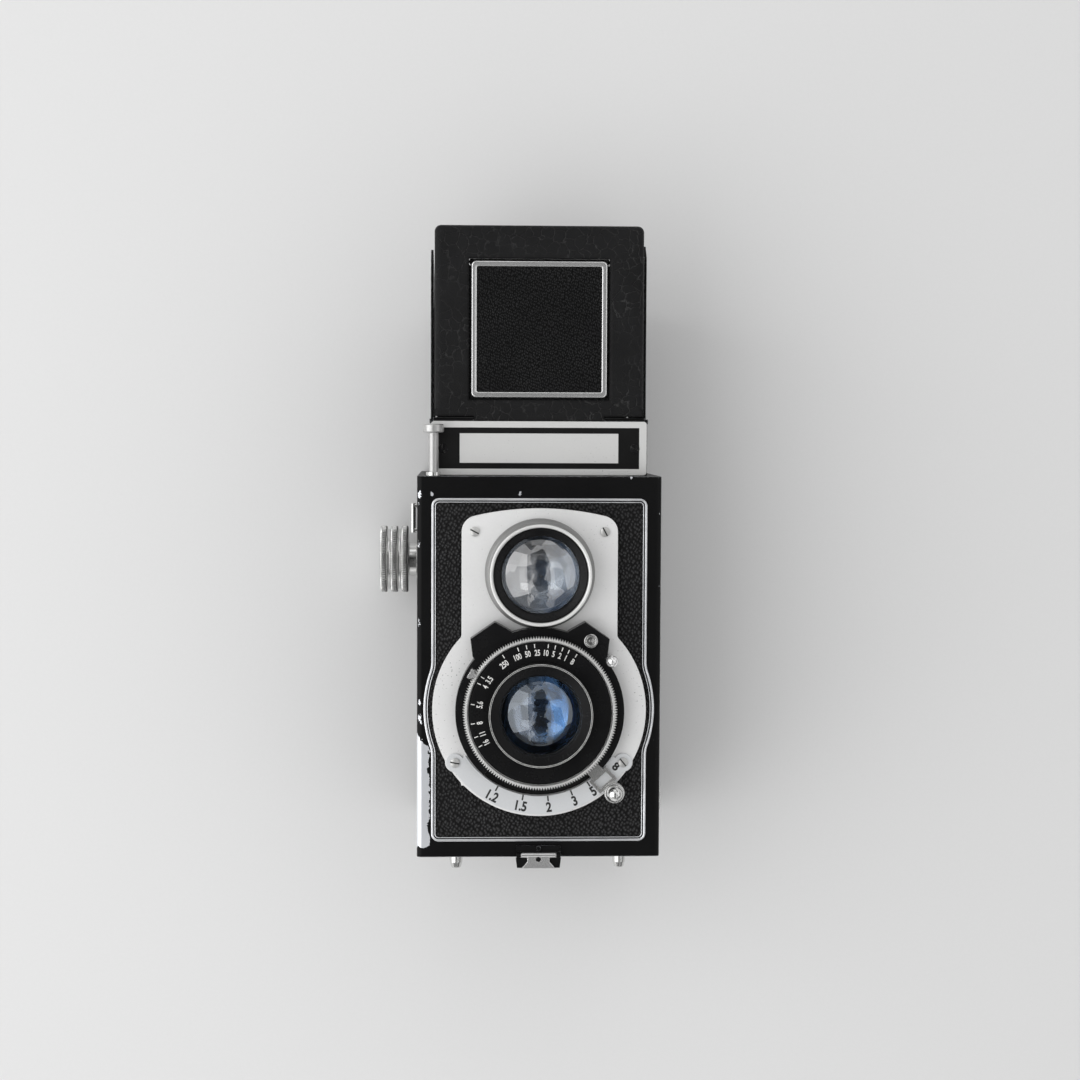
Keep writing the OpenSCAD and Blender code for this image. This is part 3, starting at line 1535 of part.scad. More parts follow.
module rear_flap() {
  half = lid_half;
  own = lid_half - knuckle_end;
  low = flap_knuckle_r + slide_gap;
  color("#191919") difference() {
    union() {
      facing(hood_back_y, rear_z) linear_extrude(flap_t) difference() {
        union() {
          translate([0, (rear_flap_h + low) / 2])
            rounded_rect(2 * half, rear_flap_h - low, flap_corner_r);
          translate([-half, low]) square([2 * half, rear_flap_h / 2]);
          translate([-own, 0]) square([2 * own, rear_flap_h / 2]);
        }
        translate([0, rear_flap_h - 2 * peep_r]) circle(peep_r);
      }
      cross_rod(flap_knuckle_r, own, rear_axis_y, rear_z);
    }
    cross_rod(flap_pin_r + run_gap, half, rear_axis_y, rear_z);
  }
}

module back_door() {
  half = body_w / 2;
  color("#1b1b1c") difference() {
    union() {
      difference() {
        intersection() {
          linear_extrude(door_top - part_gap) rounded_rect(body_w, body_d, edge_r);
          union() {
            translate([-half, back_y - flange_d, 0]) cube([body_w, flange_d, door_top]);
            translate([-half, tray_front_y, 0]) cube([body_w, body_d, tray_h]);
          }
        }
        translate([-inner_x, tray_front_y - over, door_sheet])
          cube([2 * inner_x, back_y - door_sheet - tray_front_y + over, far]);
      }
      // the hinge barrel and the web that joins it to the back
      cross_rod(barrel_r, barrel_half, hinge_y, hinge_z);
      translate([-barrel_half, back_y - door_sheet, door_top - over])
        cube([2 * barrel_half, door_sheet - part_gap, hinge_z - door_top + over]);
      // the posts that guide the pressure plate
      for (x = [-1, 1])
        translate([x * post_x, 0, 0]) facing(back_y - door_sheet, taking_z)
          cylinder(r = post_r, h = pressure_room - film_gap - part_gap);
    }
    cross_rod(door_pin_r + run_gap, half, hinge_y, hinge_z);
  }
}

module back_leather() {
  margin = side_margin;
  h = door_top - part_gap - 2 * margin;
  color("#141414") facing(back_y + leather, margin + h / 2)
    linear_extrude(leather) rounded_rect(body_w - 2 * margin, h, edge_r);
}

module pressure_plate() {
  color("#2f2f2f") facing(film_y + film_gap + pressure_t, taking_z)
    linear_extrude(pressure_t) difference() {
      rounded_rect(pressure_w, pressure_h, edge_r);
      for (x = [-1, 1])
        translate([x * post_x, 0]) circle(post_r + run_gap);
    }
}

module feet() {
  color("#bdbdbd")
    for (x = [-1, 1], y = [-1, 1])
      translate([x * foot_x, y * (body_d / 2 - foot_in), 0]) rotate_extrude() polygon([
        [0, 0], [foot_r, 0], [foot_waist_r, -foot_waist_h], [foot_tip_r + foot_bevel, -foot_h + foot_bevel],
        [foot_tip_r, -foot_h], [0, -foot_h]
      ]);
}

module tripod_bush() {
  color("#bfbfbf") rotate_extrude() polygon([
    [tripod_r, -tripod_h], [tripod_boss_r, -tripod_h], [tripod_boss_r, -tripod_flange_t],
    [tripod_flange_r, -tripod_flange_t], [tripod_flange_r, 0], [tripod_r, 0]
  ]);
}

module latch_bracket() {
  color("#191919") difference() {
    union() {
      translate([-latch_w / 2, front_y - latch_t, 0]) cube([latch_w, latch_t, latch_h]);
      for (x = [-1, 1])
        translate([x * (latch_w / 2 - latch_ear / 2), 0, 0])
          sideways(-latch_ear / 2, latch_y, latch_rod_z) {
            cylinder(r = latch_rod_z, h = latch_ear);
            translate([-latch_rod_z, 0, 0]) cube([2 * latch_rod_z, latch_rod_out, latch_ear]);
          }
      facing(front_y - latch_t, latch_h - latch_rod_z) cylinder(r = latch_rod_r, h = latch_t);
    }
    cross_rod(latch_pin_r + run_gap, far, latch_y, latch_rod_z);
  }
}

module latch_lever() {
  half = latch_w / 2 - latch_ear - part_gap;
  hook_y = tray_front_y + latch_bite;
  color("#cfcfcf") {
    cross_rod(latch_rod_r, half, latch_y, latch_rod_z);
    cross_rod(latch_pin_r, latch_w / 2, latch_y, latch_rod_z);
    facing(latch_y + latch_plate_t / 2, latch_rod_z) linear_extrude(latch_plate_t)
      difference() {
        polygon([
          [-latch_neck_w / 2, 0], [-latch_neck_w / 2, -latch_drop / 2], [-latch_foot_w / 2, -latch_drop],
          [latch_foot_w / 2, -latch_drop], [latch_neck_w / 2, -latch_drop / 2], [latch_neck_w / 2, 0]
        ]);
        translate([0, -latch_drop / 2 - latch_hole_r]) circle(latch_hole_r);
      }
    translate([-latch_neck_w / 2, latch_y, latch_hook_z - latch_plate_t])
      cube([latch_neck_w, hook_y - latch_y, latch_plate_t]);
  }
}

body_shell();
front_leather();
front_trim();
side_leather();
hood_base();
name_plate();
name_plate_screws();
focusing_screen();
mirror_glass();  // mirror
mirror_cradle();
light_tunnel();
lower_roller();
upper_roller();
helicoid_mount();
release_bush();
hood_pins();
door_hinge_pin();
latch_bracket();
strap_lugs();
winding_bush();
front_plate();
plate_screws();
focus_scale();
viewing_barrel();
viewing_ring();
viewing_glass();
shutter_housing();
shutter_dial();
flash_socket();
taking_ring();
taking_glass();
helicoid_tube();
rear_glass();
shutter_blades();
focus_lever();
focus_knob();
speed_ring();
aperture_lever();
cocking_lever();
release_button();
winding_knob();
winding_shaft();
take_up_spool();
supply_spool();
take_up_pin();
supply_pin();
hood_lid();
finder_flap();
finder_frame();
magnifier_arm();
magnifier_lens();
left_flap();
right_flap();
rear_flap();
back_door();
back_leather();
pressure_plate();
feet();
tripod_bush();
latch_lever();
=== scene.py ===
"""Looks of a twin lens reflex camera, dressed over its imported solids.

Sizes are millimetres in the model's frame: X to the right seen from the front, the front towards -Y, Z up.
Meshes are written in metres.
"""

import logging
import math
from dataclasses import dataclass
from enum import Enum
from functools import partial
from typing import Callable, Mapping, Sequence, Union

import bmesh
import bpy
import numpy as np
from mathutils import Matrix, Vector


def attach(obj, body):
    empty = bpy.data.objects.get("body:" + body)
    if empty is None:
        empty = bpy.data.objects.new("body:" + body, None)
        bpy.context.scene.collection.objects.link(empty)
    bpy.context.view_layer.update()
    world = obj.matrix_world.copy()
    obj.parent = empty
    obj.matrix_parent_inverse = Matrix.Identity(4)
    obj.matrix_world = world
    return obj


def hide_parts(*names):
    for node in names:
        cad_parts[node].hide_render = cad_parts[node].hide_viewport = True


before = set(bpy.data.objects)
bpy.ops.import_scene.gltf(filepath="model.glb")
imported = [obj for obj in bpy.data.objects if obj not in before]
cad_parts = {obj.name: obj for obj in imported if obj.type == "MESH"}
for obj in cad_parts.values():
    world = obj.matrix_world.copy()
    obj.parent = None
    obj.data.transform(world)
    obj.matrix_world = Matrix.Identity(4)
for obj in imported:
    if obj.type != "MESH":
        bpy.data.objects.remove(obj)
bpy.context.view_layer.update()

Array = np.ndarray
Mesh = bpy.types.Mesh
Material = bpy.types.Material
Node = bpy.types.Node
Tree = bpy.types.NodeTree
Socket = bpy.types.NodeSocket
Value = Union[float, Socket]
Colour = tuple[float, float, float]
Place = Callable[[Array], Array]

MM = 0.001
LENS_STEPS = 160
BOARD_FACE = -40.1
TAKING_AXIS = 46.0
HOOD_FRONT = -29.8
FINDER_MIDDLE = 162.6
LOG = logging.getLogger("camera_looks")


class Body(str, Enum):
    """The moving bodies that new pieces ride on."""

    SHELL = "camera_body"
    BOARD = "lens_board"
    FOCUS = "focus"
    SPEED = "speed"
    COCKING = "cocking"
    RELEASE = "release"
    ADVANCE = "advance"
    UPPER_PULL = "upper_pull"
    LOWER_PULL = "lower_pull"
    LID = "lid"
    FINDER = "finder"
    LATCH = "latch"


class Slot(str, Enum):
    """The record's material slots."""

    PAINT = "black_paint"
    LEATHER = "leather"
    CHROME = "chrome"
    SATIN = "satin_aluminium"
    ENAMEL = "black_enamel"
    GLASS = "lens_glass"


# Meshes


def outward(mesh: Mesh) -> None:
    """Merges a mesh's doubled points, drops its empty faces and turns the rest outwards."""
    work = bmesh.new()
    work.from_mesh(mesh)
    bmesh.ops.remove_doubles(work, verts=work.verts, dist=1e-6)
    bmesh.ops.dissolve_degenerate(work, edges=work.edges, dist=1e-7)
    bmesh.ops.recalc_face_normals(work, faces=work.faces)
    work.to_mesh(mesh)
    work.free()


class Shell:
    """Points and quads of one piece, gathered from grids of two parameters."""

    def __init__(self) -> None:
        """Starts with no points."""
        self.points: list[Array] = []
        self.quads: list[Array] = []
        self.count = 0

    def grid(self, p: Array, wrap_u: bool = False, wrap_v: bool = False) -> "Shell":
        """Adds a grid of points and joins neighbours by quads.

        Args:
            p: points p(u, v) of shape (n, m, 3), in millimetres.
            wrap_u: join the last row to the first.
            wrap_v: join the last column to the first.

        Returns:
            The shell itself.
        """
        n, m, _ = p.shape
        ids = np.arange(n * m).reshape(n, m) + self.count
        if wrap_u:
            ids = np.vstack([ids, ids[:1]])
        if wrap_v:
            ids = np.hstack([ids, ids[:, :1]])
        quads = np.stack([ids[:-1, :-1], ids[1:, :-1], ids[1:, 1:], ids[:-1, 1:]], -1)
        self.points.append(p.reshape(-1, 3))
        self.quads.append(quads.reshape(-1, 4))
        self.count += n * m
        return self

    def faces(self, points: Array, quads: Array) -> "Shell":
        """Adds points with quads that already index them."""
        self.points.append(points)
        self.quads.append(quads + self.count)
        self.count += len(points)
        return self

    def mesh(self, name: str, crease: float) -> Mesh:
        """Makes a smooth mesh in metres, its doubles merged and its faces turned outwards.

        Args:
            name: name of the mesh.
            crease: angle in degrees above which an edge stays sharp.

        Returns:
            The new mesh.
        """
        mesh = bpy.data.meshes.new(name)
        mesh.from_pydata((np.vstack(self.points) * MM).tolist(), [], np.vstack(self.quads).tolist())
        outward(mesh)
        mesh.polygons.foreach_set("use_smooth", np.ones(len(mesh.polygons), bool))
        mesh.set_sharp_from_angle(angle=math.radians(crease))
        return mesh


def turn(profile: Array, steps: int = 128) -> Array:
    """Turns a profile about its axis: p(t, s) = (r(s) cos t, r(s) sin t, a(s)).

    Args:
        profile: rows of radius and height along the axis.
        steps: points round the axis.

    Returns:
        A grid of shape (steps, rows, 3).
    """
    t = np.linspace(0.0, 2 * np.pi, steps, endpoint=False)[:, None]
    r, a = profile[:, 0][None], profile[:, 1][None]
    return np.stack([r * np.cos(t), r * np.sin(t), a + 0 * t], -1)


def knurled(profile: Array, depth: Array, teeth: int, fine: int = 6) -> Array:
    """Turns a profile whose radius dips between teeth: r(s, t) = r(s) - depth(s) |2 frac(n t) - 1|^0.8.

    Args:
        profile: rows of radius and height.
        depth: how deep the teeth are cut at each row.
        teeth: teeth round the wheel.
        fine: points for each tooth.

    Returns:
        A grid of shape (teeth * fine, rows, 3).
    """
    t = np.linspace(0.0, 2 * np.pi, teeth * fine, endpoint=False)[:, None]
    dip = np.abs(2 * np.mod(teeth * t / (2 * np.pi), 1.0) - 1) ** 0.8
    r = profile[:, 0][None] - depth[None] * dip
    return np.stack([r * np.cos(t), r * np.sin(t), profile[:, 1][None] + 0 * t], -1)


def lathe(profile: Array, place: Place, steps: int, ring: bool = True) -> Shell:
    """A turned piece at its place; a ring's profile is closed, any other begins and ends on the axis."""
    return Shell().grid(place(turn(profile, steps)), True, ring)


def polar(radius: float, degrees: float) -> tuple[float, float]:
    """A point by its radius and its angle, anticlockwise from the right."""
    return radius * math.cos(math.radians(degrees)), radius * math.sin(math.radians(degrees))


def rounded(corners: Sequence[tuple[float, float, float]], steps: int = 5) -> Array:
    """Rounds the corners of a closed profile with arcs between the tangent points.

    Args:
        corners: x, y and radius of each corner.
        steps: points on each arc.

    Returns:
        The profile's points, one row each.
    """
    c = np.array(corners, float)
    p, r = c[:, :2], c[:, 2]
    back = np.roll(p, 1, 0) - p
    ahead = np.roll(p, -1, 0) - p
    lb, la = np.linalg.norm(back, axis=1), np.linalg.norm(ahead, axis=1)
    back, ahead = back / lb[:, None], ahead / la[:, None]
    half = np.arccos(np.clip((back * ahead).sum(1), -1, 1)) / 2
    reach = np.minimum(r / np.tan(half), 0.49 * np.minimum(lb, la))[:, None]
    a, b = p + back * reach, p + ahead * reach
    w = np.linspace(0.0, 1.0, steps)[None, :, None]
    curve = (1 - w) ** 2 * a[:, None] + 2 * w * (1 - w) * p[:, None] + w**2 * b[:, None]
    return curve.reshape(-1, 2)


def facing(p: Array, y: float, z: float, x: float = 0.0) -> Array:
    """Lays local points (u, v, a) on a face that looks forwards: (x + u, y - a, z + v)."""
    return np.stack([x + p[..., 0], y - p[..., 2], z + p[..., 1]], -1)


def sideways(p: Array, x: float, y: float, z: float, way: float = 1.0) -> Array:
    """Lays local points on an axis along X: height runs along way * X from the place x."""
    return np.stack([x + way * p[..., 2], y + p[..., 0], z + p[..., 1]], -1)


def upright(p: Array, x: float, y: float, z: float) -> Array:
    """Lays local points on an axis along Z."""
    return p + np.array([x, y, z])


def spin(p: Array, degrees: float) -> Array:
    """Turns local points about their own axis, anticlockwise seen from the front."""
    c, s = math.cos(math.radians(degrees)), math.sin(math.radians(degrees))
    return np.stack([c * p[..., 0] - s * p[..., 1], s * p[..., 0] + c * p[..., 1], p[..., 2]], -1)


def shift(p: Array, u: float = 0.0, v: float = 0.0, a: float = 0.0) -> Array:
    """Moves local points."""
    return p + np.array([u, v, a])


def put(name: str, mesh: Union[Shell, Mesh], finish: Material, body: Body, slot: Slot,
        replaced: Sequence[str] = (), crease: float = 35.0) -> bpy.types.Object:
    """Links a finished piece, and names the body it rides on and the nodes it stands for.

    Args:
        name: the piece's name.
        mesh: a shell, or a mesh that is already made.
        finish: its material.
        body: the body it rides on.
        slot: the record's slot for its finish; not used.
        replaced: nodes that it hides.
        crease: angle above which edges stay sharp.

    Returns:
        The new object.
    """
    data = mesh.mesh(name, crease) if isinstance(mesh, Shell) else mesh
    data.materials.clear()
    data.materials.append(finish)
    piece = bpy.data.objects.new(name, data)
    bpy.context.scene.collection.objects.link(piece)
    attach(piece, body.value)
    if replaced:
        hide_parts(*replaced)
    LOG.info("%s: %d faces on %s", name, len(data.polygons), body.value)
    return piece


def domed_screw(radius: float, height: float, dome: float, slot_w: float, slot_d: float, angle: float) -> Shell:
    """A slotted screw head, closed, drawn by chords: height(x, y) = h + dome (1 - (x^2 + y^2) / r^2) beside the slot.

    Args:
        radius: radius of the head.
        height: height of its rim.
        dome: rise of the dome over the rim.
        slot_w: width of the slot.
        slot_d: depth of the slot under the rim.
        angle: turn of the slot in degrees.

    Returns:
        The shell in local points (u, v, a).
    """
    edge = slot_w / 2
    reach = edge + (radius - edge) * np.sin(np.linspace(0, np.pi / 2, 11))
    x = np.concatenate([-reach[::-1], [-edge, edge], reach])[:, None]
    y = np.sqrt(np.maximum(radius**2 - x**2, 0)) * np.linspace(-1, 1, 13)[None]
    top = height + dome * (1 - (x**2 + y**2) / radius**2)
    top[len(reach):-len(reach)] = height - slot_d
    loop = np.hstack([y, y[:, ::-1]])
    rows = np.stack([x + 0 * loop, loop, np.hstack([top, 0 * y])], -1)
    return Shell().grid(spin(rows, angle), False, True)


def prism(loop: Array, low: float, high: float) -> Array:
    """A closed bar: a loop of points carried from one height to another, its ends drawn in to the loop's middle.

    Args:
        loop: the outline's points, one row each.
        low: height of one end.
        high: height of the other end.

    Returns:
        A grid of shape (points, 4, 3), to be wrapped along the loop.
    """
    middle = loop.mean(0)
    rows = [np.column_stack([middle + (loop - middle) * s, np.full(len(loop), a)])
            for s, a in ((0.0, low), (1.0, low), (1.0, high), (0.0, high))]
    return np.stack(rows, 1)


def placed(shell: Shell, place: Place) -> Shell:
    """A copy of a shell with its points carried to a place by a function."""
    moved = Shell()
    moved.points = [place(p) for p in shell.points]
    moved.quads = list(shell.quads)
    moved.count = shell.count
    return moved


def joined(shells: Sequence[Shell]) -> Shell:
    """One shell from several."""
    whole = Shell()
    for shell in shells:
        whole.faces(np.vstack(shell.points), np.vstack(shell.quads))
    return whole


class Lettering:
    """Numbers and marks, gathered into one mesh of thin closed solids."""

    def __init__(self, rise: float, root: float = 0.05) -> None:
        """Starts an empty set of marks that stand a rise above the face and reach a root below it, in millimetres."""
        self.rise = rise
        self.root = root
        self.points: list[Array] = []
        self.tris: list[Array] = []
        self.count = 0

    def _add(self, p: Array, t: Array) -> None:
        """Adds triangles by their points."""
        self.points.append(p)
        self.tris.append(t + self.count)
        self.count += len(p)

    def number(self, text: str, size: float, u: float, v: float, turned: float, wide: float = 0.82,
               bold: float = 0.02) -> None:
        """Adds a number, centred on a point and turned in its plane.

        Args:
            text: the figures.
            size: height of the type in millimetres.
            u: place across.
            v: place up.
            turned: degrees anticlockwise.
            wide: width of the figures beside the font's own.
            bold: how far the strokes are thickened, beside the type's height.
        """
        curve = bpy.data.curves.new("figures", "FONT")
        curve.body, curve.size, curve.extrude = text, 1.0, 0.1
        curve.align_x, curve.align_y = "CENTER", "CENTER"
        curve.resolution_u = 4
        curve.offset = bold
        holder = bpy.data.objects.new("figures", curve)
        mesh = bpy.data.meshes.new_from_object(holder)
        mesh.calc_loop_triangles()
        p = np.zeros(len(mesh.vertices) * 3)
        mesh.vertices.foreach_get("co", p)
        t = np.zeros(len(mesh.loop_triangles) * 3, int)
        mesh.loop_triangles.foreach_get("vertices", t)
        p = p.reshape(-1, 3)
        p[:, :2] -= (p[:, :2].min(0) + p[:, :2].max(0)) / 2
        p *= size * np.array([wide, 1.0, 1.0])
        p[:, 2] = np.where(p[:, 2] > 0, self.rise, -self.root)
        self._add(shift(spin(p, turned), u, v), t.reshape(-1, 3))
        bpy.data.objects.remove(holder)
        bpy.data.curves.remove(curve)
        bpy.data.meshes.remove(mesh)

    def bar(self, u: float, v: float, length: float, width: float, turned: float) -> None:
        """Adds a straight mark that runs along the turned direction from its middle."""
        loop = np.array([[-length, -width], [length, -width], [length, width], [-length, width]]) / 2
        bar = prism(loop, -self.root, self.rise)
        box = Shell().grid(shift(spin(bar, turned), u, v), True)
        quads = np.vstack(box.quads)
        self._add(np.vstack(box.points), np.vstack([quads[:, :3], quads[:, [0, 2, 3]]]))

    def mesh(self, name: str, place: Place) -> Mesh:
        """Makes the mesh of all marks.

        Args:
            name: the mesh's name.
            place: function from local points to the model's frame, in millimetres.

        Returns:
            The new mesh, in metres.
        """
        mesh = bpy.data.meshes.new(name)
        mesh.from_pydata((place(np.vstack(self.points)) * MM).tolist(), [], np.vstack(self.tris).tolist())
        outward(mesh)
        return mesh


# Shader graphs


class Graph:
    """A node tree with short ways to add and join nodes."""

    def __init__(self, tree: Tree) -> None:
        """Wraps a tree."""
        self.tree = tree

    def add(self, kind: str, inputs: Union[Mapping, None] = None, **settings: object) -> Node:
        """Adds a node.

        Args:
            kind: the node's type.
            inputs: values or sockets by the input's name or number.
            **settings: attributes of the node.

        Returns:
            The node.
        """
        node = self.tree.nodes.new(kind)
        for key, value in settings.items():
            setattr(node, key, value)
        for key, value in (inputs or {}).items():
            if isinstance(value, Socket):
                self.tree.links.new(value, node.inputs[key])
            else:
                node.inputs[key].default_value = value
        return node

    def math(self, operation: str, a: Value, b: Value = 0.0, clamp: bool = False) -> Socket:
        """Joins two values by an operation."""
        return self.add("ShaderNodeMath", {0: a, 1: b}, operation=operation, use_clamp=clamp).outputs[0]

    def plus(self, a: Value, b: Value) -> Socket:
        """The sum a + b."""
        return self.math("ADD", a, b)

    def less(self, a: Value, b: Value, clamp: bool = False) -> Socket:
        """The difference a - b."""
        return self.math("SUBTRACT", a, b, clamp)

    def times(self, a: Value, b: Value) -> Socket:
        """The product a b."""
        return self.math("MULTIPLY", a, b)

    def scaled(self, value: Value, factor: float, offset: float) -> Socket:
        """A value on a line: factor * value + offset."""
        return self.plus(self.times(value, factor), offset)

    def vector(self, operation: str, a: Socket, b: Union[Socket, Colour]) -> Socket:
        """Joins two vectors by an operation."""
        return self.add("ShaderNodeVectorMath", {0: a, 1: b}, operation=operation).outputs[0]

    def step(self, value: Value, low: float, high: float, to_low: float = 0.0, to_high: float = 1.0) -> Socket:
        """Eases a value from one range to another."""
        return self.add("ShaderNodeMapRange", {"Value": value, "From Min": low, "From Max": high, "To Min": to_low,
                        "To Max": to_high}, interpolation_type="SMOOTHSTEP").outputs[0]

    def mix(self, factor: Value, a: Union[Socket, Colour], b: Union[Socket, Colour]) -> Socket:
        """Mixes two colours."""
        full = [v if isinstance(v, Socket) else (*v, 1.0) for v in (a, b)]
        return self.add("ShaderNodeMix", {0: factor, 6: full[0], 7: full[1]}, data_type="RGBA").outputs[2]

    def place(self) -> Socket:
        """The point on the object, in metres."""
        return self.add("ShaderNodeTexCoord").outputs["Object"]

    def axes(self) -> tuple[Socket, Socket, Socket]:
        """The point on the object as three values."""
        parts = self.add("ShaderNodeSeparateXYZ", {0: self.place()})
        return parts.outputs[0], parts.outputs[1], parts.outputs[2]

    def noise(self, scale: Value, detail: float = 3.0, vector: Union[Socket, None] = None) -> Socket:
        """Noise over the object."""
        where = self.place() if vector is None else vector
        return self.add("ShaderNodeTexNoise", {"Vector": where, "Scale": scale, "Detail": detail}).outputs[0]

    def group(self, tree: Tree, values: Mapping[str, Value]) -> Node:
        """Places a shared effect with its own values, given by the inputs' names."""
        return self.add("ShaderNodeGroup", values, node_tree=tree)

    def feed(self, node: Node, **sockets: Socket) -> None:
        """Joins sockets to a node's inputs by their names with underscores."""
        for key, socket in sockets.items():
            self.tree.links.new(socket, node.inputs[key.replace("_", " ").title()])


class Effects:
    """Shared effects as shader node groups, each built once."""

    def __init__(self) -> None:
        """Builds every group."""
        self.worn_edge = self._worn_edge()
        self.pebble = self._pebble()
        self.crackle = self._crackle()
        self.specks = self._specks()
        self.smudge = self._smudge()

    def _open(self, name: str, inputs: Sequence[tuple[str, float]],
              outputs: Sequence[tuple[str, str]]) -> tuple[Graph, Node, Node]:
        """Starts a group.

        Args:
            name: the group's name.
            inputs: names and first values of its number inputs.
            outputs: names and socket types of its outputs.

        Returns:
            The graph, the group's input node and its output node.
        """
        tree = bpy.data.node_groups.new(name, "ShaderNodeTree")
        for label, value in inputs:
            tree.interface.new_socket(label, in_out="INPUT", socket_type="NodeSocketFloat").default_value = value
        for label, kind in outputs:
            tree.interface.new_socket(label, in_out="OUTPUT", socket_type=kind)
        graph = Graph(tree)
        return graph, graph.add("NodeGroupInput"), graph.add("NodeGroupOutput")

    def _worn_edge(self) -> Tree:
        """Rounded normals at edges, and a mask where a noise has rubbed the edge bare."""
        g, given, out = self._open("worn_edge", [("Radius", 0.0004), ("Wear", 0.5), ("Grain", 900.0)],
                                   [("Mask", "NodeSocketFloat"), ("Normal", "NodeSocketVector")])
        soft = g.add("ShaderNodeBevel", {"Radius": given.outputs["Radius"]}, samples=4).outputs[0]
        flat = g.add("ShaderNodeNewGeometry").outputs["Normal"]
        dot = g.add("ShaderNodeVectorMath", {0: soft, 1: flat}, operation="DOT_PRODUCT").outputs["Value"]
        rub = g.plus(g.noise(given.outputs["Grain"], 4.0), g.noise(60.0, 2.0))
        need = g.less(0.42, g.times(given.outputs["Wear"], 0.36))
        mask = g.step(g.less(g.times(g.less(1.0, dot), rub), need), 0.0, 0.03)
        g.feed(out, mask=mask, normal=soft)
        return g.tree

    def _warped(self, g: Graph, where: Socket, scale: float, detail: float, reach: float) -> Socket:
        """Points moved by a noise, by up to a reach in metres."""
        wobble = g.add("ShaderNodeTexNoise", {"Vector": g.place(), "Scale": scale, "Detail": detail})
        return g.vector("ADD", where, g.vector("MULTIPLY", wobble.outputs["Color"], grey(reach)))

    def _pebble(self) -> Tree:
        """Leather pebbles: rounded cells, longer along a slanted grain, with finer creases on them."""
        g, given, out = self._open("pebble", [("Scale", 1300.0), ("Slant", 0.6), ("Stretch", 0.6)],
                                   [("Height", "NodeSocketFloat"), ("Valley", "NodeSocketFloat")])
        x, y, z = g.axes()
        sheet = g.add("ShaderNodeCombineXYZ", {0: g.plus(x, y), 1: z}).outputs[0]
        where = self._warped(g, sheet, 400.0, 1.0, 0.0009)
        spun = g.add("ShaderNodeCombineXYZ", {2: given.outputs["Slant"]}).outputs[0]
        long = g.add("ShaderNodeCombineXYZ", {0: 1.0, 1: given.outputs["Stretch"], 2: 1.0}).outputs[0]
        grain = g.add("ShaderNodeMapping", {"Vector": where, "Rotation": spun, "Scale": long}).outputs[0]
        cell = g.add("ShaderNodeTexVoronoi", {"Vector": grain, "Scale": given.outputs["Scale"], "Randomness": 0.55},
                     voronoi_dimensions="2D")
        dome = g.step(cell.outputs["Distance"], 0.12, 0.56, 1.0, 0.0)
        g.feed(out, height=g.plus(dome, g.times(g.noise(4500.0, 3.0), 0.25)), valley=g.less(1.0, dome))
        return g.tree

    def _crackle(self) -> Tree:
        """Fine branching creases: edges of warped cells that fade in and out."""
        g, given, out = self._open("crackle", [("Scale", 180.0), ("Width", 0.035)],
                                   [("Line", "NodeSocketFloat"), ("Height", "NodeSocketFloat")])
        where = self._warped(g, g.place(), 330.0, 3.0, 0.0032)
        cell = g.add("ShaderNodeTexVoronoi", {"Vector": where, "Scale": given.outputs["Scale"]},
                     feature="DISTANCE_TO_EDGE")
        near = g.less(1.0, g.math("DIVIDE", cell.outputs["Distance"], given.outputs["Width"]), True)
        patchy = g.times(g.step(g.noise(40.0, 2.0), 0.4, 0.6), g.step(g.noise(420.0, 2.0), 0.3, 0.5))
        line = g.times(near, patchy)
        g.feed(out, line=line, height=g.less(g.times(g.noise(3200.0, 3.0), 0.3), line))
        return g.tree

    def _specks(self) -> Tree:
        """Small scattered spots from a thresholded noise."""
        g, given, out = self._open("specks", [("Scale", 2600.0), ("Amount", 0.5)], [("Mask", "NodeSocketFloat")])
        patch = g.times(g.less(g.noise(45.0, 3.0), 0.5), 0.35)
        level = g.plus(g.noise(given.outputs["Scale"], 1.5), patch)
        need = g.less(0.86, g.times(given.outputs["Amount"], 0.22))
        g.feed(out, mask=g.step(g.less(level, need), 0.0, 0.05))
        return g.tree

    def _smudge(self) -> Tree:
        """Slow unevenness from handling, with a finer haze on it."""
        g, given, out = self._open("smudge", [("Scale", 55.0)], [("Value", "NodeSocketFloat")])
        slow = g.noise(given.outputs["Scale"], 5.0)
        g.feed(out, value=g.plus(g.times(slow, 0.75), g.times(g.noise(1400.0, 3.0), 0.25)))
        return g.tree

    def edge(self, g: Graph, radius: float, wear: float, grain: float) -> tuple[Socket, Socket]:
        """Places the worn edge, its radius in millimetres; gives its mask and its normal."""
        node = g.group(self.worn_edge, {"Radius": radius * MM, "Wear": wear, "Grain": grain})
        return node.outputs["Mask"], node.outputs["Normal"]

    def haze(self, g: Graph, scale: float) -> Socket:
        """Places the smudge."""
        return g.group(self.smudge, {"Scale": scale}).outputs["Value"]

    def spots(self, g: Graph, scale: float, amount: float) -> Socket:
        """Places the specks."""
        return g.group(self.specks, {"Scale": scale, "Amount": amount}).outputs["Mask"]


def fresh(name: str) -> tuple[Material, Graph, Node]:
    """Starts a material.

    Args:
        name: the material's name.

    Returns:
        The material, its graph and its Principled shader.
    """
    material = bpy.data.materials.new(name)
    material.use_nodes = True
    material.node_tree.nodes.clear()
    graph = Graph(material.node_tree)
    shader = graph.add("ShaderNodeBsdfPrincipled")
    graph.add("ShaderNodeOutputMaterial", {0: shader.outputs[0]})
    return material, graph, shader


def bump(g: Graph, height: Socket, depth: float, normal: Socket) -> Socket:
    """A bump of a depth in metres over a normal."""
    return g.add("ShaderNodeBump", {"Height": height, "Distance": depth, "Strength": 1.0, "Normal": normal}).outputs[0]


def grey(level: float) -> Colour:
    """An even grey."""
    return level, level, level


def shade(colour: Colour, factor: float) -> Colour:
    """A colour made lighter or darker."""
    return colour[0] * factor, colour[1] * factor, colour[2] * factor


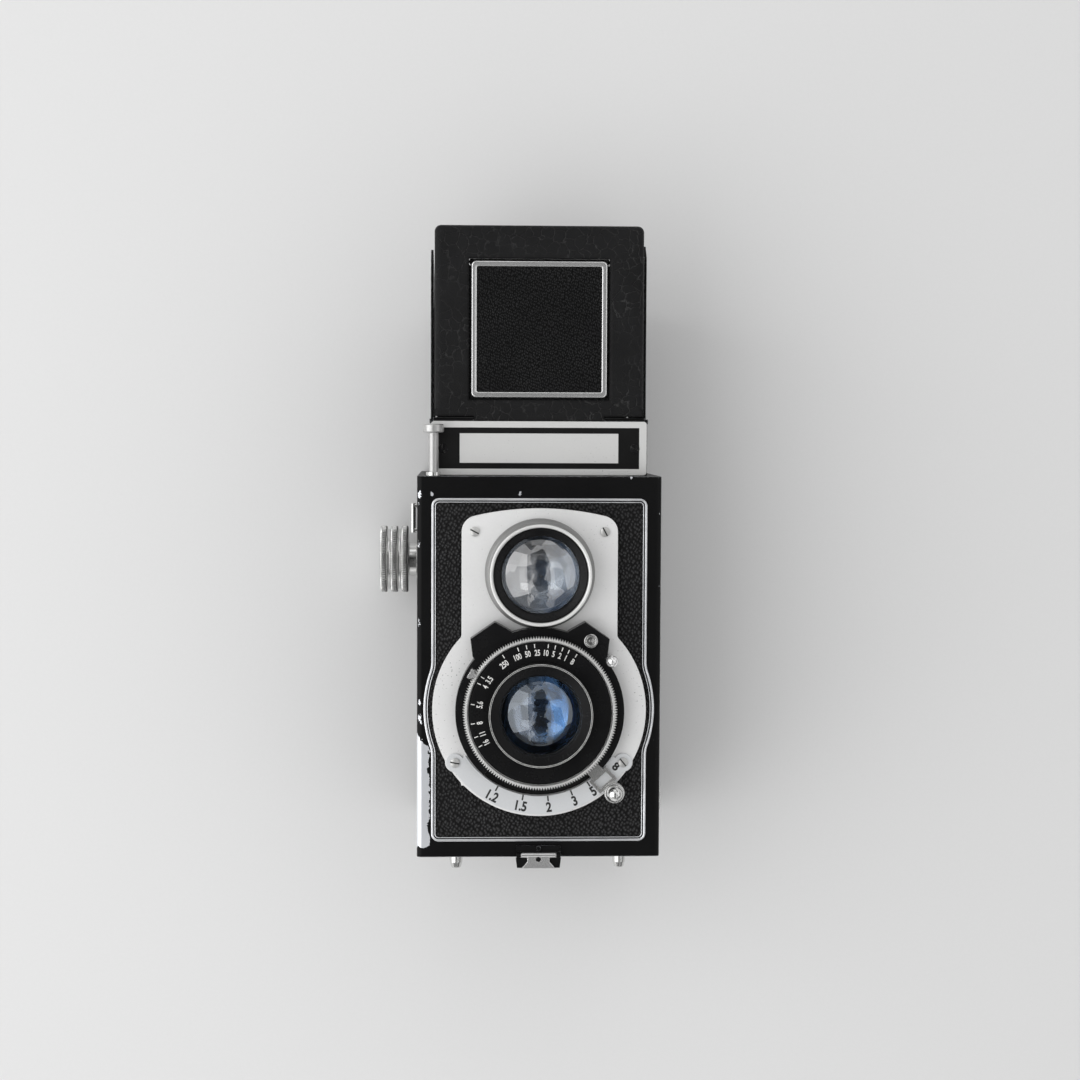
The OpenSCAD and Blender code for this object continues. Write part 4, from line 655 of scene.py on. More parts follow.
@dataclass(frozen=True)
class Finish:
    """A named material; each kind of finish says how its shader is fed."""

    name: str

    def paint(self, g: Graph, shader: Node, fx: Effects) -> None:
        """Feeds the shader.

        Args:
            g: the material's graph.
            shader: its Principled shader.
            fx: the shared effects.
        """
        raise NotImplementedError

    def build(self, fx: Effects) -> Material:
        """Builds the material with the shared effects."""
        material, g, shader = fresh(self.name)
        self.paint(g, shader, fx)
        return material


@dataclass(frozen=True)
class Paint(Finish):
    """Black lacquer over bright metal, rubbed through at its edges.

    Chips are places in millimetres with a radius; the bare strip is the rubbed-through lower left border of the front.
    """

    colour: Colour = (0.0032, 0.0032, 0.0034)
    bare: Colour = (0.86, 0.88, 0.92)
    rough: float = 0.36
    wear: float = 0.35
    edge: float = 0.45
    peel: float = 0.00004
    shine: float = 0.12
    chips: tuple[tuple[float, float, float, float], ...] = ()
    strip: bool = False

    def paint(self, g: Graph, shader: Node, fx: Effects) -> None:
        """Mixes lacquer and bare metal by a mask of worn edges, chips and the strip."""
        mask, normal = fx.edge(g, self.edge, self.wear, 700.0)
        flake = g.less(g.noise(2400.0, 3.0), 0.5)
        for x, y, z, r in self.chips:
            gap = g.vector("SUBTRACT", g.place(), (x * MM, y * MM, z * MM))
            tall = g.vector("MULTIPLY", gap, (1.0, 1.0, 0.6))
            long = g.add("ShaderNodeVectorMath", {0: tall}, operation="LENGTH").outputs["Value"]
            far = g.plus(long, g.times(flake, 2.6 * r * MM))
            mask = g.math("MAXIMUM", mask, g.step(far, 0.72 * r * MM, 0.85 * r * MM, 1.0, 0.0))
        if self.strip:
            mask = g.math("MAXIMUM", mask, self._strip(g))
        haze = fx.haze(g, 70.0)
        clean = g.mix(haze, self.colour, shade(self.colour, 1.7))
        lacquer = g.mix(g.times(fx.spots(g, 1700.0, 0.35), 0.18), clean, grey(0.22))
        skin = g.less(g.noise(2200.0, 2.0), g.times(mask, 1.6))
        shader.inputs["Specular IOR Level"].default_value = self.shine
        g.feed(shader, base_color=g.mix(mask, lacquer, self.bare), metallic=g.times(mask, 0.55),
               roughness=g.less(g.scaled(haze, 0.2, self.rough - 0.1), g.times(mask, 0.14)),
               normal=bump(g, skin, self.peel, normal))

    def _strip(self, g: Graph) -> Socket:
        """The bare strip: right of the left edge up to a ragged line that closes in towards its top."""
        x, y, z = g.axes()
        line = g.step(z, 0.0325, 0.0405, -0.0338, -0.0384)
        rag = g.plus(g.times(g.less(g.noise(900.0, 4.0), 0.5), 0.0024),
                     g.times(g.less(g.noise(260.0, 3.0), 0.5), 0.0026))
        inside = g.step(g.less(g.plus(line, rag), x), -0.00006, 0.00006)
        low = g.step(g.plus(z, rag), 0.0031, 0.0033)
        front = g.step(g.plus(y, rag), -0.0352, -0.0349, 1.0, 0.0)
        return g.times(g.times(inside, low), front)


@dataclass(frozen=True)
class Hide(Finish):
    """Black leather: pebbled all over, with painted shade in the valleys and a painted highlight on the tops, or smooth
    with fine creases drawn lighter as a painted highlight.
    """

    # colour: the valleys' painted shade; light: the pebbles' tops as a painted highlight
    colour: Colour = (0.0012, 0.0012, 0.0013)
    light: Colour = (0.044, 0.044, 0.0453)
    rough: float = 0.42
    shine: float = 0.2
    scale: float = 1050.0
    slant: float = 0.6
    stretch: float = 0.8
    depth: float = 0.0004
    creased: float = 0.0
    edge: float = 0.5

    def paint(self, g: Graph, shader: Node, fx: Effects) -> None:
        """Paints shade into the valleys between pebbles and highlight on their tops, or draws creases lighter on an
        even tone as a painted highlight.
        """
        _, normal = fx.edge(g, self.edge, 0.0, 800.0)
        grain = g.group(fx.pebble, {"Scale": self.scale, "Slant": self.slant, "Stretch": self.stretch})
        haze = fx.haze(g, 90.0)
        tone = g.mix(g.step(haze, 0.3, 0.7), self.light, shade(self.light, 0.7))
        # painted shade and highlight: the valleys take the dark colour and the pebbles' tops the light one
        wear_and_shading, height = g.mix(grain.outputs["Valley"], tone, self.colour), grain.outputs["Height"]
        if self.creased:
            lines = g.group(fx.crackle, {"Scale": 300.0, "Width": 0.055})
            # painted highlight: the crease lines are drawn lighter than the leather
            wear_and_shading = g.mix(g.times(lines.outputs["Line"], 0.7), tone, grey(0.05))
            height = g.plus(g.times(lines.outputs["Height"], self.creased), g.times(height, 0.12))
        shader.inputs["Specular IOR Level"].default_value = self.shine
        g.feed(shader, base_color=wear_and_shading, roughness=g.scaled(haze, 0.25, self.rough - 0.1),
               normal=bump(g, height, self.depth, normal))


@dataclass(frozen=True)
class Metal(Finish):
    """Plated or satin metal with specks, handling marks and softened edges.

    Where shade_and_tone_y is set, what lies behind it takes the groove colour: on the bright trim this is painted shade
    in the groove between the beads and at their foot, on the viewing barrel a darker tone behind its rim.
    """

    colour: Colour = (0.78, 0.78, 0.77)
    dark: Colour = (0.58, 0.58, 0.57)
    rough: float = 0.2
    specks: float = 0.3
    speck_scale: float = 2400.0
    edge: float = 0.25
    grain: float = 0.000004
    grain_scale: float = 3800.0
    metal: float = 1.0
    shade_and_tone_y: float = 0.0
    # colour behind shade_and_tone_y; the near-black default is the trim's painted shade
    groove: Colour = (0.015, 0.015, 0.015)

    def paint(self, g: Graph, shader: Node, fx: Effects) -> None:
        """Mottles the tone by handling and dots it with specks."""
        shader.inputs["Metallic"].default_value = self.metal
        _, normal = fx.edge(g, self.edge, 0.0, 900.0)
        haze = fx.haze(g, 60.0)
        tone = g.mix(g.step(haze, 0.3, 0.75), self.colour, self.dark)
        if self.shade_and_tone_y:
            # behind the plane, the groove colour: painted shade on the trim, a darker tone on the barrel
            deep = g.step(g.axes()[1], (self.shade_and_tone_y - 0.08) * MM, self.shade_and_tone_y * MM)
            tone = g.mix(deep, tone, self.groove)
        spots = fx.spots(g, self.speck_scale, self.specks)
        g.feed(shader, base_color=g.mix(g.times(spots, 0.7), tone, grey(0.1)),
               roughness=g.scaled(haze, 0.22, self.rough - 0.11),
               normal=bump(g, g.noise(self.grain_scale, 3.0), self.grain, normal))


@dataclass(frozen=True)
class Enamel(Finish):
    """Gloss black stove enamel with dust, fine rubbing and grey edges, which are partly wear and partly a painted
    highlight.
    """

    colour: Colour = (0.005, 0.005, 0.0053)
    rough: float = 0.24
    dust: float = 0.3
    shine: float = 0.14

    def paint(self, g: Graph, shader: Node, fx: Effects) -> None:
        """Dusts the enamel and greys its edges, partly as wear and partly as a painted highlight along them."""
        mask, normal = fx.edge(g, 0.2, 0.1, 1200.0)
        haze = fx.haze(g, 110.0)
        clean = g.mix(haze, self.colour, shade(self.colour, 2.2))
        base = g.mix(g.times(fx.spots(g, 2100.0, self.dust), 0.12), clean, grey(0.3))
        shader.inputs["Specular IOR Level"].default_value = self.shine
        # grey edges: worn enamel, and a painted highlight along the edges
        g.feed(shader, base_color=g.mix(mask, base, (0.35, 0.35, 0.34)),
               roughness=g.scaled(haze, 0.25, self.rough - 0.1),
               normal=bump(g, g.noise(2600.0, 2.0), 0.000004, normal))


@dataclass(frozen=True)
class Ink(Finish):
    """Filled lettering and painted marks, a little uneven."""

    colour: Colour = (0.8, 0.8, 0.78)
    wear_and_shading: Colour = (0.55, 0.55, 0.53)

    def paint(self, g: Graph, shader: Node, fx: Effects) -> None:
        """Mixes the fresh colour and the colour of wear."""
        haze = fx.haze(g, 420.0)
        g.feed(shader, base_color=g.mix(g.step(haze, 0.45, 0.7), self.colour, self.wear_and_shading),
               roughness=g.scaled(haze, 0.2, 0.4))


@dataclass(frozen=True)
class Glass(Finish):
    """Coated lens glass: a tinted reflection, a body colour that changes from left to right, which on the lenses is a
    painted reflection, and a trace of dust.
    """

    tint_and_reflection: Colour = (0.9, 0.95, 1.0)
    right: Colour = (0.9, 0.95, 1.0)
    coating: Colour = (1.0, 1.0, 1.0)
    index: float = 1.5
    rough: float = 0.0

    def paint(self, g: Graph, shader: Node, fx: Effects) -> None:
        """Paints the body colour along a wavering border, from the left colour to the right one, as a painted
        reflection on the lenses, and dusts the face.
        """
        shader.inputs["Transmission Weight"].default_value = 1.0
        shader.inputs["IOR"].default_value = self.index
        shader.inputs["Specular Tint"].default_value = (*self.coating, 1.0)
        swirl = g.times(g.less(g.noise(220.0, 2.0), 0.5), 0.012)
        # painted reflection: the body's colour changes from left to right
        body = g.mix(g.step(g.plus(g.axes()[0], swirl), -0.003, 0.004), self.tint_and_reflection, self.right)
        dust = fx.spots(g, 1500.0, 0.1)
        g.feed(shader, base_color=g.mix(g.times(dust, 0.4), body, grey(0.6)),
               roughness=g.scaled(dust, 0.3, self.rough))


@dataclass(frozen=True)
class NamePlateFinish(Finish):
    """Satin plate with a black field and a bare satin panel in it, drawn by distance from the plate's middle."""

    middle: tuple[float, float] = (0.0, 126.0)
    field: tuple[float, float] = (31.0, 6.35)
    panel: tuple[float, float] = (24.5, 4.55)

    def paint(self, g: Graph, shader: Node, fx: Effects) -> None:
        """Lays the black field on the plate's front, round the panel."""
        _, normal = fx.edge(g, 0.25, 0.0, 900.0)
        x, y, z = g.axes()
        across = g.math("ABSOLUTE", g.less(x, self.middle[0] * MM))
        up = g.math("ABSOLUTE", g.less(z, self.middle[1] * MM))

        def inside(size: tuple[float, float]) -> Socket:
            """A mask of 1 inside a rectangle of these half sizes."""
            far = g.math("MAXIMUM", g.less(across, size[0] * MM), g.less(up, size[1] * MM))
            return g.step(far, -0.00004, 0.00004, 1.0, 0.0)

        front = g.step(y, -0.03055, -0.0305, 1.0, 0.0)
        black = g.times(g.less(inside(self.field), inside(self.panel)), front)
        haze = fx.haze(g, 80.0)
        clean = g.mix(haze, (0.80, 0.80, 0.79), (0.70, 0.70, 0.69))
        silver = g.mix(g.times(fx.spots(g, 2300.0, 0.45), 0.55), clean, grey(0.12))
        enamel = g.mix(haze, grey(0.004), grey(0.012))
        shader.inputs["Specular IOR Level"].default_value = 0.15
        g.feed(shader, base_color=g.mix(black, silver, enamel), metallic=g.times(g.less(1.0, black), 0.4),
               roughness=g.scaled(haze, 0.2, 0.28), normal=bump(g, g.noise(3000.0, 3.0), 0.000004, normal))


@dataclass(frozen=True)
class LeverFinish(Finish):
    """Bright metal in front of the plate, black enamel on the ring behind it."""

    split_y: float = -40.5

    def paint(self, g: Graph, shader: Node, fx: Effects) -> None:
        """Splits the two finishes at a plane."""
        _, normal = fx.edge(g, 0.25, 0.0, 900.0)
        haze = fx.haze(g, 90.0)
        bright = g.step(g.axes()[1], (self.split_y - 0.05) * MM, self.split_y * MM, 1.0, 0.0)
        metal = g.mix(haze, (0.82, 0.82, 0.81), (0.66, 0.66, 0.65))
        g.feed(shader, base_color=g.mix(bright, grey(0.005), metal), metallic=bright,
               roughness=g.scaled(haze, 0.25, 0.12), normal=normal)


class Finishes:
    """Every finish of the camera, built once."""

    def __init__(self) -> None:
        """Builds the materials."""
        fx = Effects()
        self.body = Paint("body_lacquer", chips=(
            (-36.9, -37.0, 111.6, 0.8), (-37.0, -37.0, 109.0, 0.45), (-37.2, -37.0, 96.6, 0.7),
            (-37.2, -37.0, 73.2, 0.5), (-37.2, -37.0, 72.0, 0.6), (-36.9, -37.0, 48.0, 0.6),
            (-36.8, -37.0, 43.2, 0.7), (-36.2, -37.0, 41.8, 0.4), (-33.0, -37.0, 112.0, 0.5),
            (37.2, -37.0, 106.0, 0.5), (37.0, -37.0, 84.0, 0.35), (-6.0, -37.0, 112.2, 0.45),
            (28.0, -37.0, 117.3, 0.4), (37.4, -30.0, 60.0, 0.7), (-37.4, -20.0, 116.8, 0.8)), strip=True).build(fx)
        self.lacquer = Paint("hood_lacquer", wear=0.3, rough=0.4).build(fx)
        self.door = Paint("door_lacquer", wear=0.5, rough=0.36).build(fx)
        self.matt = Paint("matt_lacquer", rough=0.62, wear=0.0, edge=0.2).build(fx)
        self.leather = Hide("pebbled_leather").build(fx)
        self.panel = Hide("finder_leather", light=(0.024, 0.024, 0.0248), scale=1750.0, slant=0.25, stretch=0.6,
                          depth=0.0003, shine=0.12).build(fx)
        self.creased = Hide("creased_leather", light=(0.010, 0.010, 0.0105), rough=0.42, scale=2200.0, stretch=0.9,
                            depth=0.0003, shine=0.15, creased=1.0, edge=1.6).build(fx)
        self.chrome = Metal("chrome", rough=0.17).build(fx)
        self.knurl = Metal("knurled_chrome", colour=(0.80, 0.80, 0.79), rough=0.24, specks=0.4, edge=0.08).build(fx)
        # the trim's groove colour is painted shade in the groove between its beads and at their foot
        self.trim = Metal("bright_trim", colour=(0.94, 0.95, 0.97), dark=(0.62, 0.63, 0.65), rough=0.2, metal=0.7,
                          specks=0.55, shade_and_tone_y=-37.4).build(fx)
        self.bright = Metal("bright_frame", colour=(0.92, 0.92, 0.92), dark=(0.8, 0.8, 0.8), rough=0.17,
                            metal=0.78).build(fx)
        self.grey = Metal("satin_grey", colour=(0.58, 0.58, 0.575), dark=(0.46, 0.46, 0.455), rough=0.34,
                          metal=0.8).build(fx)
        self.teeth = Metal("cut_ring", colour=(0.84, 0.84, 0.83), dark=(0.70, 0.70, 0.69), rough=0.3, edge=0.05,
                           metal=0.6).build(fx)
        self.satin = Metal("satin_plate", colour=(0.84, 0.84, 0.838), dark=(0.78, 0.78, 0.778), rough=0.46, specks=0.62,
                           speck_scale=2000.0, edge=0.3, grain=0.000016, metal=0.25).build(fx)
        # the barrel is darker behind its rim
        self.barrel = Metal("satin_barrel", colour=(0.88, 0.88, 0.87), dark=(0.8, 0.8, 0.79), rough=0.4, metal=0.5,
                            shade_and_tone_y=-49.7, groove=(0.27, 0.27, 0.267)).build(fx)
        self.scale = Metal("scale_plate", colour=(0.76, 0.775, 0.79), dark=(0.70, 0.715, 0.73), rough=0.36,
                           specks=0.2, metal=0.3).build(fx)
        self.steel = Metal("steel", colour=(0.55, 0.55, 0.55), dark=(0.42, 0.42, 0.42), rough=0.3).build(fx)
        self.screw = Metal("screw_steel", colour=(0.62, 0.62, 0.61), dark=(0.52, 0.52, 0.51), rough=0.36,
                           metal=0.6).build(fx)
        self.brass = Metal("brass", colour=(0.72, 0.55, 0.28), dark=(0.55, 0.41, 0.2), rough=0.3).build(fx)
        self.enamel = Enamel("black_enamel").build(fx)
        self.dull = Enamel("dull_enamel", rough=0.5, dust=0.1).build(fx)
        self.white = Ink("white_figures").build(fx)
        # black ink for the figures, also used as painted shade in the screw slots
        self.black = Ink("black_ink_and_slot_shade", (0.012, 0.012, 0.012), (0.03, 0.03, 0.03)).build(fx)
        self.name_plate = NamePlateFinish("name_plate").build(fx)
        self.lever = LeverFinish("focus_lever").build(fx)
        # the lenses' colours from left to right are painted reflections
        self.taking = Glass("taking_glass", tint_and_reflection=(0.62, 0.68, 0.78), right=(0.32, 0.58, 0.94),
                            coating=(0.86, 0.93, 1.0), index=2.1).build(fx)
        self.viewing = Glass("viewing_glass", tint_and_reflection=(0.8, 0.8, 0.8), right=(0.7, 0.75, 0.8), index=2.6).build(fx)
        self.inner = Glass("inner_glass", tint_and_reflection=(0.3, 0.35, 0.45), right=(0.2, 0.3, 0.5), index=3.2).build(fx)
        self.clear = Glass("clear_glass").build(fx)
        self.screen = Glass("ground_glass", tint_and_reflection=(0.86, 0.88, 0.87), right=(0.86, 0.88, 0.87), rough=0.5).build(fx)
        self.mirror = Metal("silvered", colour=(0.9, 0.91, 0.92), dark=(0.86, 0.87, 0.88), rough=0.13,
                            specks=0.1).build(fx)


def dress(finish: Material, *nodes: str) -> None:
    """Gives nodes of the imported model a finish."""
    for name in nodes:
        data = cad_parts[name].data
        data.materials.clear()
        data.materials.append(finish)


# Sub-assemblies


@dataclass
class FrontTrim:
    """The bright frame on the front: two beads with a groove between them, carried round the frame's outline."""

    y: float = -37.0
    half: float = 33.1
    low: float = 4.9
    high: float = 110.8
    corner: float = 2.4
    bulge: float = 35.5
    blend: float = 9.0
    axis_z: float = TAKING_AXIS
    bead: float = 1.4
    rise: float = 0.8

    def outline(self, inset: float) -> Array:
        """The frame's outline, drawn inwards: lines, corner arcs, hollow blends and the bulge's arcs.

        Args:
            inset: how far inwards of the outer edge.

        Returns:
            Points across and up, clockwise from the top.
        """
        half, top, low = self.half - inset, self.high - inset, self.low + inset
        rc, r, b, zc = self.corner - inset, self.bulge - inset, self.blend + inset, self.axis_z
        h = math.sqrt((r + b) ** 2 - (half + b) ** 2)
        swing = math.degrees(math.atan2(h, half + b))

        def line(a: Sequence[float], c: Sequence[float], n: int) -> Array:
            """Points along a line without its end."""
            return np.array(a) + (np.array(c) - np.array(a)) * np.linspace(0, 1, n, endpoint=False)[:, None]

        def arc(x: float, z: float, radius: float, start: float, end: float, n: int) -> Array:
            """Points along an arc without its end."""
            t = np.radians(np.linspace(start, end, n, endpoint=False))
            return np.stack([x + radius * np.cos(t), z + radius * np.sin(t)], -1)

        right = np.vstack([
            line((0, top), (half - rc, top), 12), arc(half - rc, top - rc, rc, 90, 0, 10),
            line((half, top - rc), (half, zc + h), 12), arc(half + b, zc + h, b, 180, 180 + swing, 14),
            arc(0, zc, r, swing, -swing, 24), arc(half + b, zc - h, b, 180 - swing, 180, 14),
            line((half, zc - h), (half, low + rc), 12), arc(half - rc, low + rc, rc, 0, -90, 10),
            line((half - rc, low), (0, low), 12), np.array([[0.0, low]])])
        left = right[-2:0:-1] * np.array([-1.0, 1.0])
        return np.vstack([right, left])

    def build(self, looks: Finishes) -> None:
        """Carries the double bead's profile round the outline and dresses it."""
        t = np.linspace(0, np.pi, 9)
        first = np.stack([0.38 * (1 - np.cos(t)), 0.42 + (self.rise - 0.42) * np.sin(t)], -1)
        second = np.stack([self.bead - 0.17 - 0.17 * np.cos(t), 0.42 + (self.rise - 0.52) * np.sin(t)], -1)
        profile = np.vstack([[0.0, 0.0], first, [0.8, 0.15], [self.bead - 0.38, 0.15], second, [self.bead, 0.0]])
        rings = [self.outline(d) for d, _ in profile]
        p = np.stack([np.column_stack([ring, np.full(len(ring), a)]) for ring, (_, a) in zip(rings, profile)], 1)
        # its finish paints shade into the groove between the beads and at their foot
        put("trim_beads", Shell().grid(facing(p, self.y, 0.0), True, True), looks.trim, Body.SHELL, Slot.CHROME,
            ("front_trim",), 50)


@dataclass
class LensBoard:
    """The front plate with its screws, focus scale and both lenses."""

    y: float = BOARD_FACE
    taking_z: float = TAKING_AXIS
    view_z: float = 88.0
    screw: float = 1.5
    screw_x: float = 19.9
    screw_rise: float = 12.7
    scale_t: float = 0.6
    scale_screw_r: float = 30.4
    scale_screw_angle: float = 32.0
    scale_figure_r: float = 30.0
    scale_tick_r: float = 27.35
    dial_t: float = 7.65
    dial_figure_r: float = 18.5
    dial_tick_r: float = 20.6
    shutter_r: float = 25.9
    socket_r: float = 26.7
    socket_angle: float = 55.0
    element_r: float = 11.4
    element_curve: float = 15.0

    def build(self, looks: Finishes) -> None:
        """Builds and dresses the board's pieces."""
        dress(looks.satin, "front_plate")
        dress(looks.scale, "focus_scale")
        dress(looks.enamel, "shutter_housing", "shutter_dial")
        dress(looks.brass, "helicoid_tube")
        dress(looks.dull, "shutter_blades")
        dress(looks.clear, "rear_glass")
        dress(looks.viewing, "viewing_glass")
        dress(looks.taking, "taking_glass")
        self.screws(looks)
        self.scale_figures(looks)
        self.dial_figures(looks)
        self.viewing_lens(looks)
        self.taking_lens(looks)
        self.socket(looks)

    def screws(self, looks: Finishes) -> None:
        """Four domed slotted heads, two on the plate's top corners and two on the scale, with a black bar sunk in each
        slot as painted shade.
        """
        heads, slot_shades = [], []
        up = self.view_z + self.screw_rise
        spots = [(-self.screw_x, up, self.y, 62.0), (self.screw_x, up, self.y, 28.0)]
        for at, angle in ((-self.scale_screw_angle, 38.0), (self.scale_screw_angle - 180, 80.0)):
            u, v = polar(self.scale_screw_r, at)
            spots.append((u, self.taking_z + v, self.y - self.scale_t, angle))
        bar = np.array([[-0.2, -1.44], [0.2, -1.44], [0.2, 1.44], [-0.2, 1.44]])
        for x, z, y, angle in spots:
            place = partial(facing, y=y, z=z, x=x)
            heads.append(placed(domed_screw(self.screw, 0.45, 0.3, 0.4, 0.35, angle), place))
            # a black bar in the slot: painted shade
            slot_shades.append(Shell().grid(place(spin(prism(bar, 0.06, 0.3), angle)), True))
        put("plate_screw_heads", joined(heads), looks.screw, Body.BOARD, Slot.CHROME, ("plate_screws",), 30)
        put("plate_screw_slot_shade", joined(slot_shades), looks.black, Body.BOARD, Slot.ENAMEL, (), 30)

    def scale_figures(self, looks: Finishes) -> None:
        """Distances along the focus scale, tops towards the lens, with a tick over each."""
        marks = Lettering(0.02)
        for text, angle in (("1.2", -118.3), ("1.5", -100.5), ("2", -84.2), ("3", -68.6), ("5", -56.3)):
            marks.number(text, 4.1, *polar(self.scale_figure_r, angle), angle + 90, bold=0.035)
            marks.bar(*polar(self.scale_tick_r, angle), 1.7, 0.46, angle)
        marks.number("8", 3.5, *polar(29.3, -36.3), -36.3, 1.0, 0.04)
        face = partial(facing, y=self.y - self.scale_t, z=self.taking_z)
        put("distance_figures", marks.mesh("distance_figures", face), looks.black, Body.BOARD, Slot.ENAMEL)

    def dial_figures(self, looks: Finishes) -> None:
        """Speeds and apertures round the dial, tops outwards, with ticks at the rim."""
        marks = Lettering(0.04)
        for text, angle, tick in (
                ("250", 126.2, 122.8), ("100", 111.7, 109.1), ("50", 101.9, 101.8), ("25", 92.9, 95.0),
                ("10", 84.6, 83.5), ("5", 77.7, 77.5), ("2", 71.5, 71.2), ("1", 65.7, 65.6), ("B", 58.2, 58.5),
                ("3.5", 146.5, 148.0), ("4", 154.0, 154.0), ("5.6", 171.6, 172.3), ("8", 188.8, 188.7),
                ("11", 199.5, 200.2), ("16", 208.0, 208.7)):
            marks.number(text, 2.5, *polar(self.dial_figure_r, angle), angle - 90, 0.7, 0.025)
            marks.bar(*polar(self.dial_tick_r, tick), 1.2, 0.26, tick)
        face = partial(facing, y=self.y - self.dial_t, z=self.taking_z)
        put("dial_figures", marks.mesh("dial_figures", face), looks.white, Body.BOARD, Slot.CHROME)

    def viewing_lens(self, looks: Finishes) -> None:
        """The bright barrel, cut clear of the shutter, its black inner ring and an inner element."""
        place = partial(facing, y=self.y, z=self.view_z)
        barrel = rounded([(11.9, -9.0, 0.1), (12.9, -9.0, 0.1), (12.9, 0.0, 0.02), (16.8, 0.0, 0.05), (16.8, 1.7, 0.3),
                          (16.1, 2.4, 0.3), (16.1, 3.0, 0.15), (15.5, 3.3, 0.2), (15.5, 9.4, 0.2), (15.3, 10.0, 0.25),
                          (14.75, 10.0, 0.2), (14.3, 9.5, 0.2), (14.3, 1.5, 0.05), (11.9, 1.5, 0.05)])
        p = turn(barrel, LENS_STEPS)
        gap = p[..., :2] + np.array([0.0, self.view_z - self.taking_z])
        far = np.linalg.norm(gap, axis=-1, keepdims=True)
        p[..., :2] += np.where(p[..., 2:] > -1.0, gap * np.maximum(self.shutter_r / far - 1, 0), 0)
        put("viewing_barrel_turned", Shell().grid(place(p), True, True), looks.barrel, Body.BOARD, Slot.SATIN,
            ("viewing_barrel",), 40)
        cone = rounded([(11.75, 6.0, 0.05), (14.28, 6.0, 0.05), (14.28, 9.0, 0.1), (13.9, 9.05, 0.1), (13.7, 8.85, 0.1),
                        (12.3, 8.3, 0.15), (12.0, 8.0, 0.1), (11.75, 7.8, 0.1)])
        put("viewing_name_ring", lathe(cone, place, LENS_STEPS), looks.enamel, Body.BOARD, Slot.ENAMEL,
            ("viewing_ring",), 30)
        self.element("viewing_inner_element", looks.inner, self.view_z, 1.2, 2.2)

    def element(self, name: str, glass: Material, z: float, a: float, edge: float) -> None:
        """A hollow-faced element behind a front glass: a(s) = a0 + 0.35 (R - sqrt(R^2 - s^2)), with a flat back."""
        s = np.linspace(0, self.element_r, 24)
        face = a + 0.35 * (self.element_curve - np.sqrt(self.element_curve**2 - s**2))
        profile = np.vstack([np.column_stack([s, face]), [[self.element_r, a - edge], [0.0, a - edge]]])
        put(name, lathe(profile, partial(facing, y=self.y, z=z), 96, False), glass, Body.BOARD, Slot.GLASS, (), 30)

    def taking_lens(self, looks: Finishes) -> None:
        """The turned lens ring with its bright lip and bare black face, and an inner element."""
        place = partial(facing, y=self.y, z=self.taking_z)
        ring = rounded([(11.85, 1.45, 0.05), (15.6, 1.45, 0.05), (15.6, 8.0, 0.02), (15.8, 8.0, 0.05),
                        (15.8, 13.2, 0.2), (15.6, 13.5, 0.15), (15.2, 13.5, 0.12), (14.9, 13.1, 0.15),
                        (12.6, 12.7, 0.2), (12.2, 12.2, 0.1), (12.2, 11.7, 0.05), (11.85, 11.6, 0.05)])
        put("taking_ring_turned", lathe(ring, place, LENS_STEPS), looks.enamel, Body.BOARD, Slot.ENAMEL,
            ("taking_ring",), 30)
        lip = rounded([(15.16, 13.42, 0.03), (15.62, 13.42, 0.03), (15.62, 13.5, 0.04), (15.16, 13.5, 0.04)], 3)
        put("taking_lip", lathe(lip, place, LENS_STEPS), looks.white, Body.BOARD, Slot.CHROME, (), 40)
        self.element("taking_inner_element", looks.inner, self.taking_z, 5.2, 2.0)

    def socket(self, looks: Finishes) -> None:
        """The flash socket: a rolled bright tube with a cup and a contact."""
        u, v = polar(self.socket_r, self.socket_angle)
        place = partial(facing, y=self.y - 5.0, z=self.taking_z + v, x=u)
        tube = rounded([(1.25, 0.4, 0.02), (2.2, 0.0, 0.02), (2.2, 1.6, 0.15), (2.0, 2.0, 0.2), (1.5, 2.0, 0.2),
                        (1.25, 1.7, 0.15)])
        pin = np.array([[0.0, 1.6], [0.35, 1.55], [0.5, 1.35], [0.5, 0.5], [1.3, 0.45], [1.3, 0.3], [0.0, 0.3]])
        shell = lathe(tube, place, 64).grid(place(turn(pin, 48)), True)
        put("flash_socket_turned", shell, looks.chrome, Body.BOARD, Slot.CHROME, ("flash_socket",), 35)


